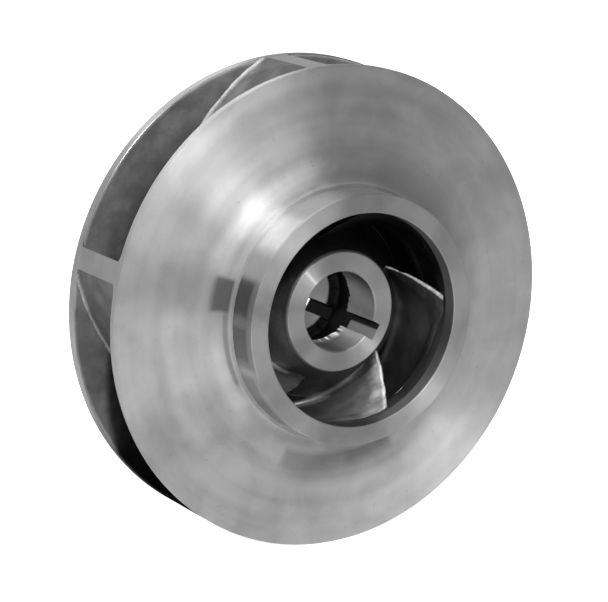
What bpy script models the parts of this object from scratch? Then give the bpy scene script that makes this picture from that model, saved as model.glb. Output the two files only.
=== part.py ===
"""Closed pump impeller with five backward-curved vanes, a raised eye ring and a keyed hub.

The axis of rotation lies along Y and the eye faces -Y, so the impeller stands on its rim.
Each piece is drawn about its own Z axis, with Z towards the eye, and is then turned onto Y.
Heights along the axis are counted from the rear face of the hub, and the origin is halfway
along the impeller.
"""

import math

import bmesh
import bpy

# Driving dimensions in metres and degrees
OUTER_RADIUS = 0.150
SEGMENTS = 90
GAP = 0.0003
MIDDLE_HEIGHT = 0.054

# Hub and bore
HUB_FRONT_HEIGHT = 0.082
HUB_FACE_RADIUS = 0.0373
HUB_CHAMFER = 0.0012
HUB_SPLIT_RADIUS = 0.060
REAR_BOSS_RADIUS = 0.0405
REAR_BOSS_FILLET = 0.005
BORE_RADIUS = 0.025
BORE_CHAMFER = 0.0008
CORED_RADIUS = 0.0315
CORED_TAPER = 0.003
FRONT_LAND_END = 0.0535
REAR_LAND_END = 0.0285
KEYWAY_WIDTH = 0.010
KEYWAY_FLOOR_RADIUS = 0.0303
KEYWAY_ANGLE = 327.5

# Back shroud
BACK_REAR_HEIGHT = 0.013
BACK_INNER_HEIGHT = 0.019
RIM_CHAMFER = 0.0005

# Front shroud
FRONT_INNER_HEIGHT = 0.0685
FRONT_OUTER_HEIGHT = 0.073
FACE_RIDGE_RADIUS = 0.096
FACE_RIDGE_HEIGHT = 0.0781
STEP_RADIUS = 0.0798
STEP_HEIGHT = 0.0857
STEP_FOOT_HEIGHT = 0.0820
STEP_FILLET = 0.003
HOLLOW_POINTS = [(0.0855, 0.0788), (0.0905, 0.0784)]

# Eye ring
RING_INNER_RADIUS = 0.0656
RING_OUTER_RADIUS = 0.0774
RING_FRONT_HEIGHT = 0.108
RING_CHAMFER = 0.0008

# Vanes
VANE_COUNT = 5
VANE_TIP_RADIUS = 0.1499
VANE_TIP_ANGLE = 93.1
VANE_THICKNESS = 0.0052
VANE_OUTLET_ANGLE = 22.5
VANE_WRAP_HUB = 150.0
VANE_WRAP_SLOPE = -29.3
VANE_WRAP_BEND = 3.4
VANE_SPIRAL_POWER = 3.0
VANE_NOSE_LENGTH = 0.0035
VANE_HUB_START_HEIGHT = 0.0709
VANE_SHROUD_START_HEIGHT = 0.0963
VANE_STATIONS = 24
VANE_ROWS = 7

# Bezier control points of the flow passage, as radius and height
HUB_CONTOUR = [(0.0383, 0.0790), (0.0480, 0.0680), (0.0780, 0.0230), (0.1200, 0.0190)]
SHROUD_CONTOUR = [(0.0656, 0.0990), (0.0656, 0.0790), (0.0770, 0.0710), (0.1060, 0.0700)]
HUB_CONTOUR_STEPS = 14
SHROUD_CONTOUR_STEPS = 12

# Surface colours of the two finishes
TURNED_COLOUR = (0.56, 0.56, 0.56, 1.0)
CAST_COLOUR = (0.20, 0.20, 0.20, 1.0)


def clear_scene():
    """Remove every object that the file starts with."""
    for item in list(bpy.data.objects):
        bpy.data.objects.remove(item, do_unlink=True)


def make_material(name, colour, metallic, roughness):
    """Make a plain Principled material."""
    material = bpy.data.materials.new(name)
    material.use_nodes = True
    shader = material.node_tree.nodes["Principled BSDF"]
    shader.inputs["Base Color"].default_value = colour
    shader.inputs["Metallic"].default_value = metallic
    shader.inputs["Roughness"].default_value = roughness
    material.diffuse_color = colour
    return material


def bezier_curve(control, steps):
    """Sample a cubic Bezier curve into a list of radius and height pairs."""
    points = []
    for index in range(steps + 1):
        t = index / steps
        weights = ((1 - t) ** 3, 3 * t * (1 - t) ** 2, 3 * t * t * (1 - t), t ** 3)
        radius = sum(w * p[0] for w, p in zip(weights, control))
        height = sum(w * p[1] for w, p in zip(weights, control))
        points.append((radius, height))
    return points


def arc_points(centre, radius, start, end, steps):
    """Points of a circular arc in the profile plane, with angles in degrees."""
    points = []
    for index in range(steps + 1):
        angle = math.radians(start + (end - start) * index / steps)
        points.append((centre[0] + radius * math.cos(angle), centre[1] + radius * math.sin(angle)))
    return points


def hub_contour():
    """Passage side of the hub and the back shroud, from the hub's nose to the rim."""
    return bezier_curve(HUB_CONTOUR, HUB_CONTOUR_STEPS) + [(OUTER_RADIUS, BACK_INNER_HEIGHT)]


def shroud_contour():
    """Passage side of the eye ring and the front shroud, from the ring's bore to the rim."""
    return bezier_curve(SHROUD_CONTOUR, SHROUD_CONTOUR_STEPS) + [(OUTER_RADIUS, FRONT_INNER_HEIGHT)]


def point_at_radius(contour, radius):
    """Point of a contour at a given radius."""
    for first, second in zip(contour, contour[1:]):
        if first[0] <= radius <= second[0]:
            share = (radius - first[0]) / (second[0] - first[0])
            return (radius, first[1] + share * (second[1] - first[1]))
    return contour[-1]


def point_at_height(contour, height):
    """Point of a contour at a given height, for contours that fall from start to end."""
    for first, second in zip(contour, contour[1:]):
        if second[1] <= height <= first[1]:
            share = (first[1] - height) / (first[1] - second[1])
            return (first[0] + share * (second[0] - first[0]), height)
    return contour[-1]


def revolve(name, profile, material):
    """Turn a closed profile about Z into a solid, and lay its axis along Y."""
    mesh = bpy.data.meshes.new(name)
    vertices = [(radius, 0.0, height - MIDDLE_HEIGHT) for radius, height in profile]
    edges = [(index, (index + 1) % len(vertices)) for index in range(len(vertices))]
    mesh.from_pydata(vertices, edges, [])
    mesh.update()
    item = bpy.data.objects.new(name, mesh)
    bpy.context.scene.collection.objects.link(item)
    screw = item.modifiers.new("Turn", "SCREW")
    screw.axis = "Z"
    screw.angle = math.tau
    screw.steps = SEGMENTS
    screw.render_steps = SEGMENTS
    screw.use_merge_vertices = True
    screw.merge_threshold = 0.00001
    screw.use_smooth_shade = True
    item.rotation_euler = (math.pi / 2, 0.0, 0.0)
    item.data.materials.append(material)
    return item


def make_eye_ring(material):
    """Raised ring round the eye, with a turned bore that runs into the cast passage."""
    contour = shroud_contour()
    foot = point_at_height(contour, STEP_HEIGHT + GAP)
    inner = [point for point in contour if point[1] > foot[1]]
    profile = [
        (RING_INNER_RADIUS + RING_CHAMFER, RING_FRONT_HEIGHT),
        (RING_OUTER_RADIUS - RING_CHAMFER, RING_FRONT_HEIGHT),
        (RING_OUTER_RADIUS, RING_FRONT_HEIGHT - RING_CHAMFER),
        (RING_OUTER_RADIUS, STEP_HEIGHT + GAP),
        foot,
    ]
    profile += list(reversed(inner))
    profile.append((RING_INNER_RADIUS, RING_FRONT_HEIGHT - RING_CHAMFER))
    return revolve("eye_ring", profile, material)


def make_front_shroud(material):
    """Front plate with the small step under the eye ring and a hollow at its foot."""
    contour = shroud_contour()
    head = point_at_height(contour, STEP_HEIGHT)
    inner = [point for point in contour if point[1] < head[1] and point[0] < OUTER_RADIUS]
    centre = (STEP_RADIUS + STEP_FILLET, STEP_FOOT_HEIGHT)
    fillet = arc_points(centre, STEP_FILLET, 180.0, 260.0, 4)
    profile = [head, (STEP_RADIUS, STEP_HEIGHT)] + fillet + HOLLOW_POINTS
    profile += [
        (FACE_RIDGE_RADIUS, FACE_RIDGE_HEIGHT),
        (OUTER_RADIUS - RIM_CHAMFER, FRONT_OUTER_HEIGHT),
        (OUTER_RADIUS, FRONT_OUTER_HEIGHT - RIM_CHAMFER),
        (OUTER_RADIUS, FRONT_INNER_HEIGHT),
    ]
    profile += list(reversed(inner))
    return revolve("front_shroud", profile, material)


def make_back_shroud(material):
    """Back plate, which rises into the flare of the hub."""
    contour = hub_contour()
    split = point_at_radius(contour, HUB_SPLIT_RADIUS + GAP)
    flare = [point for point in contour if split[0] < point[0] < OUTER_RADIUS]
    profile = [split] + flare + [
        (OUTER_RADIUS, BACK_INNER_HEIGHT),
        (OUTER_RADIUS, BACK_REAR_HEIGHT + RIM_CHAMFER),
        (OUTER_RADIUS - RIM_CHAMFER, BACK_REAR_HEIGHT),
        (HUB_SPLIT_RADIUS + GAP, BACK_REAR_HEIGHT),
    ]
    return revolve("back_shroud", profile, material)


def make_hub(material):
    """Hub with its cored bore, rear boss and one keyway through both lands."""
    contour = hub_contour()
    split = point_at_radius(contour, HUB_SPLIT_RADIUS)
    nose = [point for point in contour if point[0] < split[0]]
    fillet_centre = (REAR_BOSS_RADIUS + REAR_BOSS_FILLET, BACK_REAR_HEIGHT - REAR_BOSS_FILLET)
    profile = [
        (BORE_RADIUS + BORE_CHAMFER, HUB_FRONT_HEIGHT),
        (HUB_FACE_RADIUS - HUB_CHAMFER, HUB_FRONT_HEIGHT),
        (HUB_FACE_RADIUS, HUB_FRONT_HEIGHT - HUB_CHAMFER),
    ]
    profile += nose + [split, (HUB_SPLIT_RADIUS, BACK_REAR_HEIGHT)]
    profile += arc_points(fillet_centre, REAR_BOSS_FILLET, 90.0, 180.0, 4)
    profile += [
        (REAR_BOSS_RADIUS, HUB_CHAMFER),
        (REAR_BOSS_RADIUS - HUB_CHAMFER, 0.0),
        (BORE_RADIUS + BORE_CHAMFER, 0.0),
        (BORE_RADIUS, BORE_CHAMFER),
        (BORE_RADIUS, REAR_LAND_END),
        (CORED_RADIUS, REAR_LAND_END + CORED_TAPER),
        (CORED_RADIUS, FRONT_LAND_END - CORED_TAPER),
        (BORE_RADIUS, FRONT_LAND_END),
        (BORE_RADIUS, HUB_FRONT_HEIGHT - BORE_CHAMFER),
    ]
    hub = revolve("hub", profile, material)
    cut_keyway(hub)
    return hub


def cut_keyway(hub):
    """Cut the keyway through both lands of the bore with a box."""
    half_width = KEYWAY_WIDTH / 2
    overrun = 0.005
    inner = 0.010
    low = -MIDDLE_HEIGHT - overrun
    high = HUB_FRONT_HEIGHT - MIDDLE_HEIGHT + overrun
    corners = [
        (radius, side, height)
        for height in (low, high)
        for radius, side in (
            (inner, -half_width),
            (KEYWAY_FLOOR_RADIUS, -half_width),
            (KEYWAY_FLOOR_RADIUS, half_width),
            (inner, half_width),
        )
    ]
    faces = [(3, 2, 1, 0), (4, 5, 6, 7), (0, 1, 5, 4), (1, 2, 6, 5), (2, 3, 7, 6), (3, 0, 4, 7)]
    mesh = bpy.data.meshes.new("keyway_cutter")
    mesh.from_pydata(corners, [], faces)
    mesh.update()
    cutter = bpy.data.objects.new("keyway_cutter", mesh)
    bpy.context.scene.collection.objects.link(cutter)
    cutter.rotation_euler = (math.pi / 2, -math.radians(KEYWAY_ANGLE), 0.0)
    cutter.hide_render = True
    cutter.display_type = "WIRE"
    boolean = hub.modifiers.new("Keyway", "BOOLEAN")
    boolean.operation = "DIFFERENCE"
    boolean.solver = "EXACT"
    boolean.object = cutter


def offset_curve(contour, distance):
    """Move a contour sideways by a distance, to the left of its direction when positive."""
    moved = []
    for index, point in enumerate(contour):
        before = contour[max(index - 1, 0)]
        after = contour[min(index + 1, len(contour) - 1)]
        along = (after[0] - before[0], after[1] - before[1])
        length = math.hypot(along[0], along[1])
        moved.append((point[0] - along[1] / length * distance, point[1] + along[0] / length * distance))
    return moved


def measure_curve(contour):
    """Running length along a contour."""
    lengths = [0.0]
    for first, second in zip(contour, contour[1:]):
        lengths.append(lengths[-1] + math.hypot(second[0] - first[0], second[1] - first[1]))
    return lengths


def point_along(contour, lengths, distance):
    """Point of a contour at a running length."""
    for index in range(len(contour) - 1):
        if distance <= lengths[index + 1] or index == len(contour) - 2:
            span = lengths[index + 1] - lengths[index]
            share = (distance - lengths[index]) / span
            first = contour[index]
            second = contour[index + 1]
            return (
                first[0] + share * (second[0] - first[0]),
                first[1] + share * (second[1] - first[1]),
            )
    return contour[-1]


def vane_edges():
    """Edges of a vane along the hub side and the shroud side, each from inlet to tip."""
    hub_side = offset_curve(hub_contour(), GAP)
    shroud_side = offset_curve(shroud_contour(), -GAP)
    edges = []
    for side, start_height in (
        (hub_side, VANE_HUB_START_HEIGHT),
        (shroud_side, VANE_SHROUD_START_HEIGHT),
    ):
        start = point_at_height(side, start_height)
        rest = [point for point in side if point[1] < start[1] and point[0] < VANE_TIP_RADIUS]
        tip = (VANE_TIP_RADIUS, side[-1][1])
        edges.append([start] + rest + [tip])
    return edges


def vane_shares():
    """Shares of the way from inlet to tip, close together at the nose."""
    nose = [0.0, 0.004, 0.012, 0.026, 0.046]
    rest = [nose[-1] + (1 - nose[-1]) * (index + 1) / VANE_STATIONS for index in range(VANE_STATIONS)]
    return nose + rest


def vane_section(hub_point, shroud_point, lengths, share, row, tip_angle):
    """One side, the middle and the other side of a vane at a station and row."""
    radius = hub_point[0] + row * (shroud_point[0] - hub_point[0])
    height = hub_point[1] + row * (shroud_point[1] - hub_point[1])
    length = lengths[0] + row * (lengths[1] - lengths[0])
    wrap = math.radians(VANE_WRAP_HUB + VANE_WRAP_SLOPE * row + VANE_WRAP_BEND * row * row)
    steady = length / (VANE_TIP_RADIUS * math.tan(math.radians(VANE_OUTLET_ANGLE)))
    bend = wrap - steady
    left = 1 - share
    angle = tip_angle + steady * left + bend * left ** VANE_SPIRAL_POWER
    slope = (steady + VANE_SPIRAL_POWER * bend * left ** (VANE_SPIRAL_POWER - 1)) / length
    stretch = math.sqrt(1 + (radius * slope) ** 2)
    travelled = share * length * stretch
    if travelled < VANE_NOSE_LENGTH:
        fullness = math.sqrt(1 - (1 - travelled / VANE_NOSE_LENGTH) ** 2)
    else:
        fullness = 1.0
    half = VANE_THICKNESS / 2 * stretch * fullness / radius
    sides = []
    for sign in (1, 0, -1):
        turned = angle + sign * half
        sides.append((radius * math.cos(turned), radius * math.sin(turned), height - MIDDLE_HEIGHT))
    return sides


def make_vane(name, tip_angle, material):
    """One backward-curved vane, twisted at its inlet and flush with the rim at its tip."""
    hub_side, shroud_side = vane_edges()
    hub_lengths = measure_curve(hub_side)
    shroud_lengths = measure_curve(shroud_side)
    lengths = (hub_lengths[-1], shroud_lengths[-1])
    mesh_data = bmesh.new()
    pressure = []
    suction = []
    edges = []
    for share in vane_shares():
        hub_point = point_along(hub_side, hub_lengths, share * lengths[0])
        shroud_point = point_along(shroud_side, shroud_lengths, share * lengths[1])
        pressure_row = []
        suction_row = []
        edge_pair = []
        for index in range(VANE_ROWS + 1):
            row = index / VANE_ROWS
            sides = vane_section(hub_point, shroud_point, lengths, share, row, tip_angle)
            first = mesh_data.verts.new(sides[0])
            second = first if share == 0.0 else mesh_data.verts.new(sides[2])
            pressure_row.append(first)
            suction_row.append(second)
            if index in (0, VANE_ROWS):
                edge_pair.append(first if share == 0.0 else mesh_data.verts.new(sides[1]))
        pressure.append(pressure_row)
        suction.append(suction_row)
        edges.append(edge_pair)
    close_vane(mesh_data, pressure, suction, edges)
    mesh = bpy.data.meshes.new(name)
    mesh_data.to_mesh(mesh)
    mesh_data.free()
    for polygon in mesh.polygons:
        polygon.use_smooth = True
    item = bpy.data.objects.new(name, mesh)
    bpy.context.scene.collection.objects.link(item)
    item.rotation_euler = (math.pi / 2, 0.0, 0.0)
    item.data.materials.append(material)
    return item


def close_vane(mesh_data, pressure, suction, edges):
    """Skin both sides of a vane, its tip and its two long edges, which have a middle line."""
    last = len(pressure) - 1
    for step in range(last):
        for row in range(VANE_ROWS):
            mesh_data.faces.new((
                pressure[step][row],
                pressure[step + 1][row],
                pressure[step + 1][row + 1],
                pressure[step][row + 1],
            ))
            mesh_data.faces.new((
                suction[step][row + 1],
                suction[step + 1][row + 1],
                suction[step + 1][row],
                suction[step][row],
            ))
        for side in (pressure, suction):
            for place, row in enumerate((0, VANE_ROWS)):
                corners = [side[step][row], side[step + 1][row], edges[step + 1][place]]
                if step > 0:
                    corners.append(edges[step][place])
                mesh_data.faces.new(corners)
    for row in range(VANE_ROWS):
        corners = [pressure[last][row], pressure[last][row + 1]]
        if row == VANE_ROWS - 1:
            corners.append(edges[last][1])
        corners += [suction[last][row + 1], suction[last][row]]
        if row == 0:
            corners.append(edges[last][0])
        mesh_data.faces.new(corners)
    bmesh.ops.recalc_face_normals(mesh_data, faces=mesh_data.faces)


def main():
    """Build every piece of the impeller."""
    clear_scene()
    turned = {}
    for name in ("front_shroud", "eye_ring", "back_shroud", "hub"):
        turned[name] = make_material("turned_" + name, TURNED_COLOUR, 1.0, 0.35)
    cast = make_material("cast_passage", CAST_COLOUR, 0.8, 0.7)
    make_front_shroud(turned["front_shroud"])
    make_eye_ring(turned["eye_ring"])
    make_back_shroud(turned["back_shroud"])
    make_hub(turned["hub"])
    for index in range(VANE_COUNT):
        angle = math.radians(VANE_TIP_ANGLE + 360.0 / VANE_COUNT * index)
        make_vane("vane_" + str(index + 1), angle, cast)


main()
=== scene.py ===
"""Dressed model of a closed pump impeller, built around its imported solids.

Lengths are in metres. The axis of rotation lies along Y and the eye faces -Y. A height
is counted along the axis from the rear face of the hub towards the eye, and an angle
runs counterclockwise from +X as seen from the eye.
"""

import logging
import math
from dataclasses import dataclass
from enum import Enum

import bpy
import numpy as np
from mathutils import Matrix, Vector, noise


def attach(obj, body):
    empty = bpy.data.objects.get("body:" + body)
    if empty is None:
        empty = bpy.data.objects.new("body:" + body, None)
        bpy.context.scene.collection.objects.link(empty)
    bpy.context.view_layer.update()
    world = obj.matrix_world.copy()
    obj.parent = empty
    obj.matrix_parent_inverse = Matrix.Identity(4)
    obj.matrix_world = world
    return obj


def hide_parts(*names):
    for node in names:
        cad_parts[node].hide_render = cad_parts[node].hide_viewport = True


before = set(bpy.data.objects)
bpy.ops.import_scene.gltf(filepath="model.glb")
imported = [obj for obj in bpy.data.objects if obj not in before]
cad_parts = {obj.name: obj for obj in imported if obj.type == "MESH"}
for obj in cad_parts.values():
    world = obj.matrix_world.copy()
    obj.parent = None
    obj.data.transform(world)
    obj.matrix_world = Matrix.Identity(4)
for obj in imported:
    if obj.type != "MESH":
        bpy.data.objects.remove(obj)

Point = tuple[float, float]
Finishes = dict[str, bpy.types.Material]
Socket = bpy.types.NodeSocket

LOG = logging.getLogger("impeller")
MIDDLE_HEIGHT = 0.054
OUTER_RADIUS = 0.150
TURN = 2.0 * math.pi
TINY = 1e-6
# Radius at which the back plate's piece takes over from the hub's, and height of its rear.
SPLIT_RADIUS = 0.060
REAR_HEIGHT = 0.013
# Distance from an edge to the profile's next point, and rounding of the rims' inner edges.
EDGE_STEP = 0.0012
INNER_BREAK = 0.0004
# Any distance along a line, which gives a corner the line's direction.
ASIDE = 0.003
# Slack where vertices are picked at a turned face, and where its rounded edge is left out.
PICK = 0.0003
EDGE_PICK = 0.0006
# Strongest painted shade, which leaves the metal almost black.
BLACKEST = 1.9
# Scale and weight of each layer of a ragged edge.
STRAY_LAYERS = ((1.6, 1.0), (5.0, 0.7), (14.0, 0.45))
PROFILE_UV = "profile"
WEAR_AND_GLINT_MAP = "wear"
# Map of painted light and shade: above zero it darkens the metal, below zero it brightens it.
STAIN_AND_PAINTED_LIGHT_MAP = "stain"


class Zone(Enum):
    """Finish of a stretch of surface, in the order of a piece's material slots."""

    TURNED = 0
    CAST = 1


@dataclass(frozen=True)
class Run:
    """Stretch of a closed profile with one finish.

    The points are pairs of radius and height. The segment that leads to a run's first
    point belongs to that run.
    """

    zone: Zone
    points: list[Point]


def bezier(control: tuple[Point, ...], steps: int) -> list[Point]:
    """Sample a cubic Bezier curve.

    Args:
        control: Four control points, as radius and height.
        steps: Number of segments.

    Returns:
        The points from start to end.
    """
    points = []
    for index in range(steps + 1):
        t = index / steps
        weights = ((1 - t) ** 3, 3 * t * (1 - t) ** 2, 3 * t * t * (1 - t), t**3)
        points.append(tuple(sum(w * p[axis] for w, p in zip(weights, control)) for axis in (0, 1)))
    return points


def between(first: Point, second: Point, share: float) -> Point:
    """Point at a share of the way from one point to another."""
    return tuple(start + share * (end - start) for start, end in zip(first, second))


def subdivide(points: list[Point], longest: float) -> list[Point]:
    """Split the long segments of a line.

    Args:
        points: The line's points.
        longest: Longest segment allowed.

    Returns:
        The line with points added on its long segments.
    """
    result = [points[0]]
    for first, second in zip(points, points[1:]):
        count = max(1, math.ceil(math.dist(first, second) / longest))
        result += [between(first, second, index / count) for index in range(1, count + 1)]
    return result


def rounded(
    before: Point, corner: Point, after: Point, size: float, steps: int = 4
) -> list[Point]:
    """Round one corner of a profile with a smooth curve.

    Args:
        before: Point that the line comes from.
        corner: The corner to be rounded.
        after: Point that the line goes to.
        size: Distance from the corner to each end of the curve.
        steps: Number of segments on the curve.

    Returns:
        The points of the curve.
    """
    middle = Vector(corner)
    start = middle + (Vector(before) - middle).normalized() * size
    end = middle + (Vector(after) - middle).normalized() * size
    points = []
    for index in range(steps + 1):
        t = index / steps
        place = start * (1 - t) ** 2 + middle * 2 * t * (1 - t) + end * t * t
        points.append((place.x, place.y))
    return points


def cut_line(line: list[Point], axis: int, value: float) -> list[Point]:
    """Part of a line that starts where its radius or its height reaches a value.

    Args:
        line: Points whose radii grow and whose heights fall from start to end.
        axis: What the value is: 0 for a radius and 1 for a height.
        value: Radius or height to cut at.

    Returns:
        The cut point and the points after it.
    """
    for index, (first, second) in enumerate(zip(line, line[1:])):
        low, high = sorted((first[axis], second[axis]))
        if low <= value <= high and low < high:
            cut = list(between(first, second, (value - first[axis]) / (second[axis] - first[axis])))
            cut[axis] = value
            return [tuple(cut)] + [point for point in line[index + 1 :] if point != tuple(cut)]
    return list(line)


def below(line: list[Point], height: float) -> list[Point]:
    """Part of a falling line that starts at a height."""
    return cut_line(line, 1, height)


def above(line: list[Point], height: float) -> list[Point]:
    """Part of a falling line that ends at a height."""
    return [point for point in line if point[1] > height + 1e-7] + below(line, height)[:1]


def outside(line: list[Point], radius: float) -> list[Point]:
    """Part of a widening line that starts at a radius."""
    return cut_line(line, 0, radius)


@dataclass(frozen=True)
class Passage:
    """Walls of the flow passage between the hub side and the shroud side."""

    hub_control: tuple[Point, ...] = (
        (0.0383, 0.0790),
        (0.0480, 0.0680),
        (0.0780, 0.0230),
        (0.1200, 0.0190),
    )
    hub_end: Point = (OUTER_RADIUS, 0.0190)
    shroud_control: tuple[Point, ...] = (
        (0.0656, 0.0990),
        (0.0656, 0.0790),
        (0.0770, 0.0710),
        (0.1060, 0.0700),
    )
    shroud_end: Point = (OUTER_RADIUS, 0.0685)
    steps: int = 60
    longest: float = 0.0025

    def wall(self, control: tuple[Point, ...], end: Point) -> list[Point]:
        """Line of a wall, curved by its control points and then straight to its end."""
        straight = subdivide([control[-1], end], self.longest)
        return bezier(control, self.steps) + straight[1:]

    def hub_line(self) -> list[Point]:
        """Hub side of the passage, from the hub's nose to the rim."""
        return self.wall(self.hub_control, self.hub_end)

    def shroud_line(self) -> list[Point]:
        """Shroud side of the passage, from the eye's bore to the rim."""
        return self.wall(self.shroud_control, self.shroud_end)


@dataclass(frozen=True)
class Keyway:
    """Keyway cut along the bore.

    The mesh has close steps from just inside the keyway's floor corners to just outside
    its mouth, and fewer along its floor.
    """

    half_width: float = 0.005
    floor_radius: float = 0.0303
    angle: float = math.radians(327.5)
    half_sight: float = 0.6
    mouth_radius: float = 0.0245
    floor_margin: float = 0.006
    mouth_margin: float = 0.012
    wall_steps: int = 26
    floor_steps: int = 13

    def reach(self, angles: np.ndarray, widening: float) -> np.ndarray:
        """Radius of the keyway's wall along each direction.

        Args:
            angles: Directions round the axis.
            widening: Extra width and depth, as on a broken edge.

        Returns:
            The radii, zero where the keyway doesn't reach.
        """
        offset = (angles - self.angle + math.pi) % TURN - math.pi
        side = (self.half_width + widening) / np.maximum(np.abs(np.sin(offset)), TINY)
        depth = (self.floor_radius + widening) / np.maximum(np.cos(offset), TINY)
        return np.where(np.abs(offset) < self.half_sight, np.minimum(side, depth), 0.0)

    def directions(self) -> np.ndarray:
        """Directions that the mesh needs round the keyway.

        Returns:
            The directions, unsorted.
        """
        corner = math.atan2(self.half_width, self.floor_radius)
        mouth = math.asin(self.half_width / self.mouth_radius)
        wall = np.linspace(corner - self.floor_margin, mouth + self.mouth_margin, self.wall_steps)
        floor = np.linspace(-corner, corner, self.floor_steps)
        return (self.angle + np.concatenate([wall, -wall, floor])) % TURN


class CastSkin:
    """Uneven skin of the as-cast metal, the same wherever two pieces meet.

    Each layer has a scale and a depth.
    """

    layers = ((55.0, 0.00045), (160.0, 0.00022), (420.0, 0.00010))

    def lift(self, place: Vector) -> float:
        """Height of the skin at a place, over its drawn surface."""
        return sum(noise.noise(place * scale) * depth for scale, depth in self.layers)

    def apply(self, mesh: bpy.types.Mesh, weights: np.ndarray) -> None:
        """Move the vertices of a mesh along their normals.

        Args:
            mesh: The mesh to be changed.
            weights: Share of the full skin at each vertex.
        """
        normals = [vertex.normal.copy() for vertex in mesh.vertices]
        for vertex, normal, weight in zip(mesh.vertices, normals, weights):
            if weight > 0.0:
                vertex.co += normal * (self.lift(vertex.co) * weight)
        mesh.update()


def stray_shares(angles: np.ndarray) -> np.ndarray:
    """Uneven shares round the axis, for an edge that breaks out into rough metal.

    Args:
        angles: Directions round the axis.

    Returns:
        The shares, round zero.
    """
    shares = []
    for angle in angles:
        place = Vector((math.cos(angle), math.sin(angle), 0.0))
        shares.append(sum(weight * noise.noise(place * scale) for scale, weight in STRAY_LAYERS))
    return np.array(shares)


def new_object(name: str, data: bpy.types.ID | None) -> bpy.types.Object:
    """Make an object and put it in the scene.

    Args:
        name: Name of the object.
        data: Its mesh, curve, light or camera.

    Returns:
        The new object.
    """
    item = bpy.data.objects.new(name, data)
    bpy.context.scene.collection.objects.link(item)
    return item


@dataclass(frozen=True)
class Lathe:
    """Turns a closed profile about the axis into a mesh."""

    segments: int = 360
    closest: float = 0.004
    map_scale: float = 10.0

    def angles(self, keyway: Keyway | None) -> np.ndarray:
        """Directions of the mesh round the axis, with those of the keyway sorted in.

        Args:
            keyway: Keyway to be cut, if any.

        Returns:
            The directions, from zero to a full turn.
        """
        angles = np.arange(self.segments) * TURN / self.segments
        if keyway is None:
            return angles
        extra = keyway.directions()
        keep = [angle for angle in angles if np.min(np.abs(extra - angle)) > self.closest]
        return np.sort(np.unique(np.round(np.concatenate([keep, extra]), 6)))

    def turn(
        self,
        name: str,
        runs: list[Run],
        materials: list[bpy.types.Material],
        keyway: Keyway | None = None,
        bore_points: dict[int, float] | None = None,
        ragged: dict[int, float] | None = None,
    ) -> bpy.types.Object:
        """Build the turned piece.

        Args:
            name: Name of the piece.
            runs: Closed profile, running outwards over the top.
            materials: One material per zone.
            keyway: Keyway to be cut, if any.
            bore_points: Widening of the keyway at each profile point that it cuts.
            ragged: How far the height of each profile point strays round the axis.

        Returns:
            The new object.
        """
        profile = [point for run in runs for point in run.points]
        zones = np.array([run.zone.value for run in runs for _ in run.points], np.int32)
        angles = self.angles(keyway)
        rings, count = len(profile), len(angles)
        radii, heights = (np.repeat(row[:, None], count, axis=1) for row in np.array(profile).T)
        for index, widening in (bore_points or {}).items():
            radii[index] = np.maximum(radii[index], keyway.reach(angles, widening))
        for index, stray in (ragged or {}).items():
            heights[index] += stray * stray_shares(angles)
        places = [radii * np.cos(angles), MIDDLE_HEIGHT - heights, radii * np.sin(angles)]
        places = np.stack(places, axis=-1).reshape(-1, 3)
        ring, step = np.repeat(np.arange(rings), count), np.tile(np.arange(count), rings)
        next_ring, next_step = (ring + 1) % rings, (step + 1) % count
        corners = ((ring, step), (next_ring, step), (next_ring, next_step), (ring, next_step))
        faces = np.stack([row * count + column for row, column in corners], axis=-1)
        if self.volume(places, faces) < 0:
            faces = faces[:, ::-1]
        mesh = bpy.data.meshes.new(name)
        mesh.from_pydata(places.tolist(), [], faces.tolist())
        mesh.polygons.foreach_set("material_index", zones[next_ring])
        mesh.polygons.foreach_set("use_smooth", np.ones(len(faces), bool))
        self.lay_uv(mesh, profile, angles)
        for material in materials:
            mesh.materials.append(material)
        mesh.update()
        return new_object(name, mesh)

    @staticmethod
    def volume(places: np.ndarray, faces: np.ndarray) -> float:
        """Signed volume of a closed mesh of four-sided faces.

        Args:
            places: Places of the vertices.
            faces: Vertices of each face.

        Returns:
            The volume, below zero where the faces point inwards.
        """
        total = 0.0
        for corners in ((0, 1, 2), (0, 2, 3)):
            first, second, third = (places[faces[:, corner]] for corner in corners)
            total += float(np.sum(first * np.cross(second, third)) / 6.0)
        return total

    def lay_uv(self, mesh: bpy.types.Mesh, profile: list[Point], angles: np.ndarray) -> None:
        """Lay a map with the length along the profile across and the angle up.

        Args:
            mesh: The turned mesh.
            profile: Its profile points.
            angles: Its directions round the axis.
        """
        spans = [math.dist(a, b) for a, b in zip(profile, profile[1:] + profile[:1])]
        lengths = np.concatenate([[0.0], np.cumsum(spans)])
        corner_vertex = np.zeros(len(mesh.loops), np.int64)
        mesh.loops.foreach_get("vertex_index", corner_vertex)
        rings = (corner_vertex // len(angles)).reshape(-1, 4)
        steps = (corner_vertex % len(angles)).reshape(-1, 4)
        ring_wraps, step_wraps = (np.ptp(rows, axis=1)[:, None] > 1 for rows in (rings, steps))
        across = lengths[np.where(ring_wraps & (rings == 0), len(profile), rings)]
        full_turn = 1.0 + angles[0] / TURN
        up = np.where(step_wraps & (steps == 0), full_turn, angles[steps] / TURN)
        layer = mesh.uv_layers.new(name=PROFILE_UV)
        layer.data.foreach_set("uv", np.stack([across * self.map_scale, up], axis=-1).ravel())


def store(mesh: bpy.types.Mesh, name: str, values: np.ndarray, domain: str = "POINT") -> None:
    """Store one number per vertex or face, such as the wear with its painted glints, or the painted
    light and shade.
    """
    layer = mesh.attributes.new(name, "FLOAT", domain)
    layer.data.foreach_set("value", values.astype(np.float32))


def vertex_places(mesh: bpy.types.Mesh) -> np.ndarray:
    """Place of each vertex, one row per vertex.

    Args:
        mesh: The mesh.

    Returns:
        The places.
    """
    places = np.zeros(len(mesh.vertices) * 3)
    mesh.vertices.foreach_get("co", places)
    return places.reshape(-1, 3)


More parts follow.
